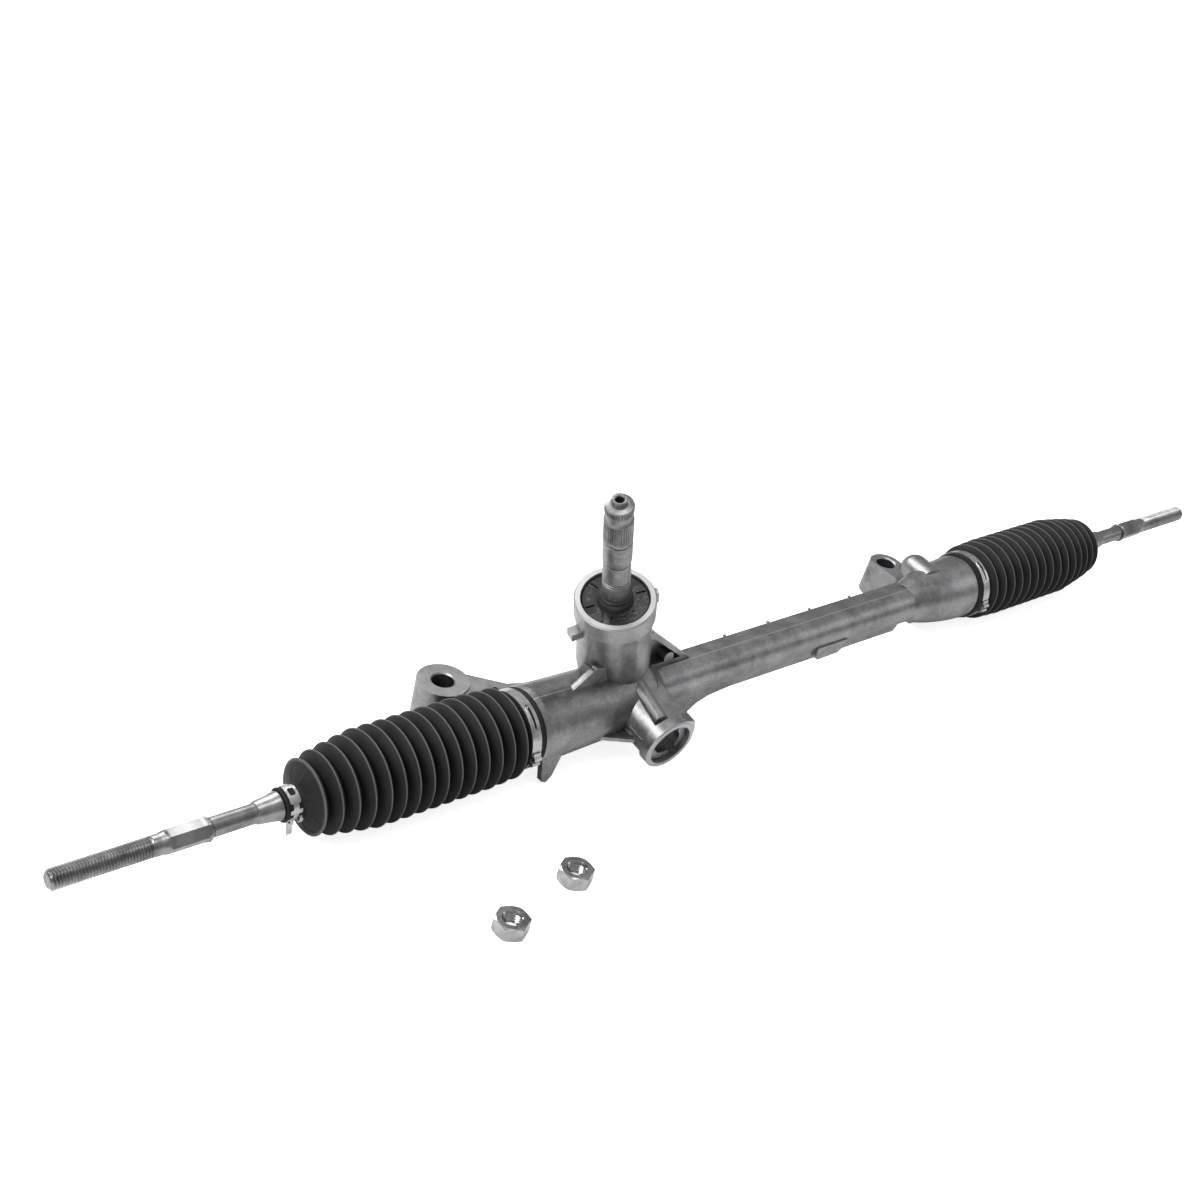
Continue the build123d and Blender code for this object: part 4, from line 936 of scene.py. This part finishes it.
def bellows_tree():
    """Wraps a grid (X along the axis, Y once round) into a pleated tube."""
    board, entry, size = operation_tree("bellows", ("Crest Bead",))
    spot = board.add("GeometryNodeInputPosition")
    parts = board.add("ShaderNodeSeparateXYZ", {"Vector": board.out(spot)})
    along = board.out(parts, "X")
    angle = board.out(parts, "Y") * (2 * pi)
    from_first = (FIRST_CREST - along) / CREST_PITCH
    outer = TIP_CREST_RADIUS + (CREST_RADIUS - TIP_CREST_RADIUS) * (from_first / GROWING).clamped() ** 0.8
    outer = outer - END_FOLD_DROP * (from_first - (CREST_COUNT - 3)).between(0.0, 2.0)
    swing = ((from_first + 0.5).fraction() - 0.5).size() * 2
    straight = (swing * swing + VALLEY_ROUNDING).root() - VALLEY_LIFT
    arched = 1 - (swing * (pi / 2)).cosine()
    bead = (1 - (swing / BEAD_REACH).least(1.0)) * size["Crest Bead"]
    pleats = outer - (straight * 0.5 + arched * 0.5) * FOLD_DEPTH + bead
    shoulder = SMALL_CUFF_START - 0.5
    cone = SMALL_CUFF_RADIUS + CONE_STEP + (TIP_CREST_RADIUS - SMALL_CUFF_RADIUS - CONE_STEP) * (
        1 - along.between(FIRST_CREST - 0.2, shoulder)
    )
    neck = SMALL_CUFF_RADIUS + CONE_STEP * (1 - along.between(shoulder, SMALL_CUFF_START + 0.2))
    lip = LIP_HEIGHT * (1 - ((along - (SMALL_CUFF_END - LIP_REACH)).size() / LIP_REACH).least(1.0))
    tail = cone.least(neck + FAR_OUT * (1 - (along > shoulder))) + lip
    past_crest = along.between(FIRST_CREST + 1.5, FIRST_CREST + 3.0)
    before_cuff = 1 - along.between(SMALL_CUFF_START - 1, SMALL_CUFF_START)
    lobes = (angle * RIDGES).cosine().most(0.0) ** RIDGE_SHARPNESS
    ridges = lobes * past_crest * before_cuff * RIDGE_HEIGHT
    radius = pleats + (tail + ridges - pleats) * (along > FIRST_CREST)
    valley = LAST_CREST - CREST_PITCH * 0.5
    cuff = CUFF_RADIUS + (pleats - CUFF_RADIUS) * along.between(valley - 0.6, valley + 0.4)
    radius = radius + (cuff - radius) * (along < valley + 0.4)
    on_pleats = (along < FIRST_CREST + 1) * (along > valley)
    # The fold value, 0 on a crest and 1 in a valley, places the rubber's pale crest line, which is partly a
    # painted highlight, and its painted valley shade.
    fold = 0.35 + (swing - 0.35) * on_pleats
    joined = board.add("ShaderNodeCombineXYZ", {
        "X": radius * angle.cosine(), "Y": radius * angle.math("SINE"), "Z": along,
    })
    marked = board.add("GeometryNodeStoreNamedAttribute", {
        "Geometry": board.out(entry, "Blank"), "Name": "fold", "Value": fold,
    }, data_type="FLOAT", domain="POINT")
    moved = board.add("GeometryNodeSetPosition", {
        "Geometry": board.out(marked), "Position": board.out(joined),
    })
    closed = board.add("GeometryNodeMergeByDistance", {"Geometry": board.out(moved), "Distance": WELD})
    end_tree(board, entry, closed)
    return board.tree


BELLOWS = bellows_tree()
print("bellows:", CREST_COUNT, "crests from", LAST_CREST, "to", round(FIRST_CREST, 1), "mm off the shoulder")

# %% [markdown]
# A blank for the tree is a flat grid whose rows fall on every crest and valley: rows that miss them
# would cut the folds off unevenly. The wrapped tube is a single skin, so it gets an inner one, moved in
# across the axis. That keeps the wall as thin in the folds as a moulded wall is.

# %% Grid and wall
ROWS_A_FOLD = 16
COLUMNS_ROUND = 96


def fold_rows(start, stop):
    """Stations along the axis, so that every crest and valley has a row of its own."""
    step = CREST_PITCH / ROWS_A_FOLD
    first = ceil((start - LAST_CREST) / step)
    inside = [LAST_CREST + step * (first + i) for i in range(int((stop - start) / step) + 2)]
    return [start] + [row for row in inside if start + 0.2 < row < stop - 0.2] + [stop]


def flat_grid(name, stations, columns):
    """Grid with a row at each station along X, and from 0 to 1 along Y."""
    form = bmesh.new()
    lines = [[form.verts.new((station, j / columns, 0)) for j in range(columns + 1)] for station in stations]
    for low, high in zip(lines, lines[1:]):
        for j in range(columns):
            form.faces.new((low[j], low[j + 1], high[j + 1], high[j]))
    return piece_from(name, form)


def walled(piece, thickness):
    """Gives an open tube an inner wall, measured across its axis, and closes its ends."""
    form = bmesh.new()
    form.from_mesh(piece.data)
    bmesh.ops.recalc_face_normals(form, faces=form.faces)
    rims = [edge for edge in form.edges if edge.is_boundary]
    copy = bmesh.ops.duplicate(form, geom=form.faces[:])
    inner = [item for item in copy["geom"] if isinstance(item, bmesh.types.BMVert)]
    for vert in inner:
        distance = Vector((vert.co.x, vert.co.y)).length
        share = (distance - thickness) / distance
        vert.co.x *= share
        vert.co.y *= share
    turned_in = [item for item in copy["geom"] if isinstance(item, bmesh.types.BMFace)]
    bmesh.ops.reverse_faces(form, faces=turned_in)
    partner = copy["vert_map"]
    for edge in rims:
        first, second = edge.verts
        form.faces.new((first, second, partner[second], partner[first]))
    bmesh.ops.recalc_face_normals(form, faces=form.faces)
    form.to_mesh(piece.data)
    form.free()


# %% [markdown]
# When the rack slides, the big cuff stays on the housing and the small cuff goes with the rod, which can also
# tilt. So the tube is made in two lengths that meet in a valley outside the ball joint: the large one lies between
# housing and rack, and the small one between ball seat and rod.

# %% Bellows
SEAM = LAST_CREST + 9.5 * CREST_PITCH
RUBBER_WALL = 1.3
STRETCH_START = 17.0


def bellows(side):
    """The two lengths of one bellows, each wrapped, walled and put in place."""
    place = outward_line(side) @ TO_METRES
    lengths = (
        ("large", CUFF_GAP / MM, SEAM, "housing", "rack", STRETCH_START, SEAM),
        ("small", SEAM, SMALL_CUFF_END, side + "_ball_seat", side + "_tie_rod", SEAM, SMALL_CUFF_START - 1),
    )
    for end, start, stop, first, second, bend_start, bend_stop in lengths:
        name = side + "_bellows_" + end
        tube = flat_grid(name, fold_rows(start, stop), COLUMNS_ROUND)
        run_tree(tube, BELLOWS, crest_bead=0.35, finish=RUBBER)
        walled(tube, RUBBER_WALL)
        finish_piece(tube, place, RUBBER, None)
        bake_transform(tube)
        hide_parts(side + "_bellows")


for side in ("left", "right"):
    bellows(side)

# %% [markdown]
# The clamps are thin strip bent round the rubber, with windows punched in it. Each is drawn flat, as an
# outline with holes in a filled curve, cut into narrow columns so that it can bend, wrapped round the
# axis, and given its thickness last.

# %% Strip metal wrapped round a cylinder


def rounded_box(left, right, low, high, radius, steps=4):
    """Corner points of a rounded rectangle, anticlockwise."""
    points = []
    for cx, cy, begin in (
        (right - radius, high - radius, 0), (left + radius, high - radius, 1),
        (left + radius, low + radius, 2), (right - radius, low + radius, 3),
    ):
        for k in range(steps + 1):
            angle = (begin + k / steps) * pi / 2
            points.append((cx + radius * cos(angle), cy + radius * sin(angle)))
    return points


def wrapped_strip(name, outlines, radius, thickness, column=1.2):
    """Strip from flat outlines in (arc length, distance along), wrapped at a radius about local Z."""
    curve = bpy.data.curves.new(name, "CURVE")
    curve.dimensions = "2D"
    curve.fill_mode = "BOTH"
    for outline in outlines:
        spline = curve.splines.new("POLY")
        spline.points.add(len(outline) - 1)
        for point, (u, v) in zip(spline.points, outline):
            point.co = (u, v, 0, 1)
        spline.use_cyclic_u = True
    flat = new_piece(name + "_flat", curve)
    bpy.context.view_layer.update()
    mesh = bpy.data.meshes.new_from_object(flat)
    form = bmesh.new()
    form.from_mesh(mesh)
    bpy.data.objects.remove(flat)
    bpy.data.curves.remove(curve)
    bpy.data.meshes.remove(mesh)
    bmesh.ops.remove_doubles(form, verts=form.verts, dist=1e-4)
    low = min(vert.co.x for vert in form.verts)
    high = max(vert.co.x for vert in form.verts)
    cut = low + column
    while cut < high:
        bmesh.ops.bisect_plane(
            form, geom=form.verts[:] + form.edges[:] + form.faces[:], plane_co=(cut, 0, 0), plane_no=(1, 0, 0)
        )
        cut += column
    for vert in form.verts:
        angle = vert.co.x / radius
        vert.co = (radius * cos(angle), radius * sin(angle), vert.co.y)
    bmesh.ops.recalc_face_normals(form, faces=form.faces)
    middles = [(face.normal, face.calc_center_median()) for face in form.faces]
    if sum(normal.x * middle.x + normal.y * middle.y for normal, middle in middles) < 0:
        bmesh.ops.reverse_faces(form, faces=form.faces)
    piece = piece_from(name, form)
    thick = piece.modifiers.new("wall", "SOLIDIFY")
    thick.thickness = thickness
    thick.offset = 1
    keep_result(piece, thick)
    return piece


def merged(name, pieces):
    """One piece from several."""
    form = bmesh.new()
    for piece in pieces:
        form.from_mesh(piece.data)
    whole = piece_from(name, form)
    for piece in pieces:
        bpy.data.objects.remove(piece)
    return whole


def ribbon(name, path, width, thickness):
    """Folded strip: a path in the local XY plane, with its width along Z, centred on Z 0."""
    form = bmesh.new()
    points = [Vector((x, y, 0)) for x, y in path]
    sections = []
    for place, point in enumerate(points):
        before = points[max(0, place - 1)]
        after = points[min(len(points) - 1, place + 1)]
        along = (after - before).normalized()
        side_way = Vector((-along.y, along.x, 0)) * thickness / 2
        rise = Vector((0, 0, width / 2))
        sections.append([
            form.verts.new(point + side_way - rise), form.verts.new(point + side_way + rise),
            form.verts.new(point - side_way + rise), form.verts.new(point - side_way - rise),
        ])
    for first, second in zip(sections, sections[1:]):
        for k in range(4):
            form.faces.new((first[k], first[(k + 1) % 4], second[(k + 1) % 4], second[k]))
    form.faces.new(sections[0][::-1])
    form.faces.new(sections[-1])
    bmesh.ops.recalc_face_normals(form, faces=form.faces)
    return piece_from(name, form)


# %% [markdown]
# The large clamp is a band with a long slot, whose edge is pressed up into a collar, and an ear that
# pliers fold to draw the band tight. The ear is a ribbon along a zigzag path, laid on the band.

# %% Large clamps
LARGE_CLAMP_START = 4.8
LARGE_CLAMP_WIDTH = 8.0
LARGE_CLAMP_RADIUS = CUFF_RADIUS + 0.1
LARGE_BAND = 0.9
LARGE_COLUMN = 1.5
EAR_PLACE = radians(101)
SLOT_PLACE = radians(35)


def large_clamp(side):
    """Band with a long raised slot at its upper front and a crimped ear below it."""
    middle = LARGE_CLAMP_START + LARGE_CLAMP_WIDTH / 2
    low, high = LARGE_CLAMP_START, LARGE_CLAMP_START + LARGE_CLAMP_WIDTH
    round_length = 2 * pi * LARGE_CLAMP_RADIUS
    front = 1 if side == "right" else -1
    slot = LARGE_CLAMP_RADIUS * ((front * SLOT_PLACE) % (2 * pi))
    opening = rounded_box(slot - 9, slot + 9, middle - 0.9, middle + 0.9, 0.85)
    band = wrapped_strip(
        side + "_band", [rounded_box(0.01, round_length - 0.01, low, high, 0.2, 1), opening],
        LARGE_CLAMP_RADIUS, LARGE_BAND, LARGE_COLUMN,
    )
    collar = wrapped_strip(
        side + "_slot_collar",
        [rounded_box(slot - 10.5, slot + 10.5, middle - 2.2, middle + 2.2, 2.1), opening],
        LARGE_CLAMP_RADIUS + LARGE_BAND / 2, LARGE_BAND, LARGE_COLUMN,
    )
    reach = LARGE_CLAMP_RADIUS + LARGE_BAND
    zigzag = [(reach + rise, along) for rise, along in (
        (0, -6.5), (0.7, -4.4), (2.6, -3.9), (3.4, -2.6), (2.6, -1.4), (0.9, -0.9),
        (0.9, 0.6), (2.8, 1.1), (3.6, 2.4), (2.8, 3.8), (0.8, 4.4), (0, 6.5),
    )]
    ear = ribbon(side + "_ear", zigzag, LARGE_CLAMP_WIDTH - 1.5, 0.8)
    ear.data.transform(Matrix.Rotation(front * EAR_PLACE, 4, "Z") @ Matrix.Translation((0, 0, middle)))
    clamp = merged(side + "_clamp_band", [band, collar, ear])
    finish_piece(clamp, outward_line(side) @ TO_METRES, BAND, "housing")
    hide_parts(side + "_large_clamp")


for side in ("left", "right"):
    large_clamp(side)

# %% [markdown]
# The small clamp is spring strip that squeezes by itself. One end is a frame with a window, the other
# a stem with a cross bar, and two loops and a tongue stand up to be gripped. Each part is a wrapped
# strip or a ribbon. The left clamp is the right one's mirror image, so its faces are turned back out.

# %% Small clamps
SMALL_CLAMP_START = GROOVE_START + 3
SMALL_CLAMP_WIDTH = 8.0
SMALL_CLAMP_RADIUS = SMALL_CUFF_RADIUS + 0.1
SMALL_BAND = 0.8
STRIP_PLACE = radians(-30)
LOOP_PLACE = radians(110)
TONGUE_PLACE = radians(152)
CLAMP_TURN = radians(8)


def small_clamp(side):
    """Spring clamp: a strip that turns into a window frame, a T tab, two loops and a tongue."""
    radius = SMALL_CLAMP_RADIUS
    low = SMALL_CLAMP_START
    high = low + SMALL_CLAMP_WIDTH
    middle = (low + high) / 2
    front = 1 if side == "right" else -1
    around = 2 * pi * radius
    window = [rounded_box(0, 15, low, high, 1.2), rounded_box(4.0, 9.5, low + 1.8, high - 1.8, 1.2)]
    frame_part = wrapped_strip(side + "_frame", window, radius, SMALL_BAND)
    stem = wrapped_strip(
        side + "_stem", [rounded_box(14.6, around + 0.3, middle - 2.0, middle + 2.0, 0.4)], radius, SMALL_BAND
    )
    bar = wrapped_strip(
        side + "_bar", [rounded_box(19, 22, low - 0.5, high + 0.5, 0.6)], radius + 0.05, SMALL_BAND
    )
    for strip in (frame_part, stem, bar):
        strip.data.transform(Matrix.Rotation(STRIP_PLACE, 4, "Z"))
    turn = Matrix.Rotation(front * CLAMP_TURN, 4, "Z")
    if front < 0:
        turn = turn @ Matrix.Scale(-1, 4, (0, 1, 0))
    reach = radius + SMALL_BAND
    arch = [(reach + rise, along) for rise, along in (
        (-0.4, -2.6), (1.6, -2.4), (2.4, -1.0), (2.4, 1.0), (1.6, 2.4), (-0.4, 2.6),
    )]
    loops = []
    for height in (low + 0.6, high - 0.6):
        loop = ribbon(side + "_loop", arch, 1.6, 0.9)
        loop.data.transform(Matrix.Rotation(LOOP_PLACE, 4, "Z") @ Matrix.Translation((0, 0, height)))
        loops.append(loop)
    lever = [(reach + rise, along) for rise, along in ((-0.2, 0), (3, 0.2), (7, 0.6), (10.5, 1.2))]
    tongue = ribbon(side + "_tongue", lever, 4.2, 0.8)
    tongue.data.transform(Matrix.Translation((0, 0, middle)) @ Matrix.Rotation(TONGUE_PLACE, 4, "Z"))
    clamp = merged(side + "_spring_clamp", [frame_part, stem, bar] + loops + [tongue])
    clamp.data.transform(turn)
    if front < 0:
        clamp.data.flip_normals()
    finish_piece(clamp, outward_line(side) @ TO_METRES, BAND, side + "_tie_rod")
    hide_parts(side + "_small_clamp")


for side in ("left", "right"):
    small_clamp(side)

# %% [markdown]
# The two loose nuts are closed rings: up the threaded hole, over the chamfered top, down the six flats
# and back. One grid follows that path all the way round, with its corners on the hexagon's corners. A
# cone cuts the corners at both faces, so the flats get their curved edges without any boolean cut.

# %% Lock nuts
NUT_ACROSS = 22.0
NUT_HEIGHT = 11.0
NUT_HOLE = 5.92
NUT_SEGMENTS = 96
NUT_CHAMFER = radians(30)


def hexagon_reach(angle):
    """Distance from the centre to the hexagon's side at an angle."""
    within = (angle + pi / 6) % (pi / 3) - pi / 6
    return NUT_ACROSS / 2 / cos(within)


def nut_section(angle):
    """The path round the nut's wall at an angle, as (radius, height) points."""
    corner = hexagon_reach(angle)
    face_circle = NUT_ACROSS / 2 - 0.35
    drop = (corner - face_circle) * tan(NUT_CHAMFER)
    bore = [(NUT_HOLE, 1.2 + (NUT_HEIGHT - 2.4) * k / 34) for k in range(35)]
    top = [(NUT_HOLE + 1.25, NUT_HEIGHT), (NUT_HOLE + 2.4, NUT_HEIGHT), (face_circle, NUT_HEIGHT)]
    side_wall = [(corner, NUT_HEIGHT - drop), (corner, NUT_HEIGHT / 2), (corner, drop)]
    bottom = [(face_circle, 0), (NUT_HOLE + 2.4, 0), (NUT_HOLE + 1.25, 0)]
    return bore + top + side_wall + bottom


def lock_nut(name):
    """Threaded nut in the place of the model's plain one."""
    form = bmesh.new()
    columns = []
    for k in range(NUT_SEGMENTS):
        angle = 2 * pi * k / NUT_SEGMENTS
        columns.append([form.verts.new((r * cos(angle), r * sin(angle), z)) for r, z in nut_section(angle)])
    for k, column in enumerate(columns):
        following = columns[(k + 1) % NUT_SEGMENTS]
        count = len(column)
        for row in range(count):
            up = (row + 1) % count
            form.faces.new((column[row], following[row], following[up], column[up]))
    bmesh.ops.recalc_face_normals(form, faces=form.faces)
    nut = piece_from(name, form)
    run_tree(
        nut, ROLL_THREAD, start=1.4, end=NUT_HEIGHT - 1.4, pitch=THREAD_PITCH, depth=-0.9,
        reach=NUT_HOLE + 0.3, finish=ZINC,
    )
    low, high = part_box(name.replace("_piece", ""))
    centre = (low + high) / 2
    place = Matrix.Translation((centre.x, centre.y, low.z)) @ TO_METRES
    finish_piece(nut, place, ZINC, "housing")
    nut.data.set_sharp_from_angle(angle=radians(20))
    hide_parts(name.replace("_piece", ""))


lock_nut("front_lock_nut_piece")
lock_nut("rear_lock_nut_piece")

# %% [markdown]
# The stage is a pale floor, a white surround and four soft lamps. Camera rays see plain white. The
# object sees a dimmer room, so that its metal keeps dark sides. Metal looks like what it reflects, so
# the lamps are large squares at the left, above and behind, and a weak one at the right.

# %% Stage and light
FLOOR_RADIUS = 7000.0
FLOOR_GAP = 0.3 * MM
FLOOR_GLOW = 0.8
GLOSSY_SHARE = 0.04
LAMPS = (
    ("key_lamp", (-1.6, 0.1, 1.4), (-0.1, 0, 0), 0.8, 30),
    ("top_lamp", (-0.2, -0.3, 1.9), (0, 0, 0), 0.5, 8),
    ("back_lamp", (-0.1, 1.4, 1.3), (0, 0.2, 0), 1.2, 26),
    ("right_lamp", (1.4, -0.9, 0.8), (0.1, 0, 0), 0.7, 2),
)


def floor_material():
    """Floor that shows white and still keeps the object's shadow."""
    material = bpy.data.materials.new("pale_floor")
    material.use_nodes = True
    board = Board(material.node_tree)
    path = board.add("ShaderNodeLightPath")
    diffuse = board.add("ShaderNodeBsdfDiffuse", {"Color": (0.8, 0.8, 0.8, 1)})
    glow = board.add("ShaderNodeEmission", {"Color": (1, 1, 1, 1), "Strength": FLOOR_GLOW})
    both = board.add("ShaderNodeAddShader")
    board.feed(both.inputs[0], board.out(diffuse))
    board.feed(both.inputs[1], board.out(glow))
    seen = board.out(path, "Is Camera Ray").most(board.out(path, "Is Glossy Ray") * GLOSSY_SHARE)
    choice = board.add("ShaderNodeMixShader", {"Fac": seen})
    board.feed(choice.inputs[1], board.out(diffuse))
    board.feed(choice.inputs[2], board.out(both))
    output = board.add("ShaderNodeOutputMaterial")
    board.feed(output.inputs["Surface"], board.out(choice))
    return material


def surround():
    """Soft studio: white for the camera, pale below and dimmer above for the object."""
    world = bpy.data.worlds.new("studio")
    bpy.context.scene.world = world
    world.use_nodes = True
    board = Board(world.node_tree)
    path = board.add("ShaderNodeLightPath")
    way = board.out(board.add("ShaderNodeTexCoord"), "Generated")
    height = board.out(board.add("ShaderNodeSeparateXYZ", {"Vector": way}), "Z")
    soft = board.add("ShaderNodeValToRGB", {"Fac": height * 0.5 + 0.5}, stops=(
        (0.0, (0.2, 0.2, 0.2, 1)), (1.0, (0.75, 0.75, 0.76, 1)),
        (0.5, (0.26, 0.26, 0.27, 1)), (0.72, (0.42, 0.42, 0.43, 1)),
    ))
    studio = board.add("ShaderNodeBackground", {"Color": board.out(soft), "Strength": 1.0})
    plain = board.add("ShaderNodeBackground", {"Color": (1, 1, 1, 1), "Strength": 1.0})
    choice = board.add("ShaderNodeMixShader", {"Fac": board.out(path, "Is Camera Ray")})
    board.feed(choice.inputs[1], board.out(studio))
    board.feed(choice.inputs[2], board.out(plain))
    output = board.add("ShaderNodeOutputWorld")
    board.feed(output.inputs["Surface"], board.out(choice))


def soft_lamp(name, place, target, size, power):
    """Square soft lamp that looks at a point."""
    lamp = bpy.data.lights.new(name, "AREA")
    lamp.size = size
    lamp.energy = power
    holder = bpy.data.objects.new(name, lamp)
    bpy.context.scene.collection.objects.link(holder)
    holder.location = place
    holder.rotation_euler = (Vector(target) - Vector(place)).to_track_quat("-Z", "Y").to_euler()


whole = [(-9, 9, 90000)]
floor = turned("floor", [(0, -2), (FLOOR_RADIUS, -2), (FLOOR_RADIUS, 0), (0, 0)], 64, whole)
floor.data.transform(Matrix.Translation((0, 0, FLOOR_Z - FLOOR_GAP)) @ TO_METRES)
floor.data.materials.append(floor_material())
surround()
for lamp in LAMPS:
    soft_lamp(*lamp)
print("lamps:", [lamp.name for lamp in bpy.data.lights])
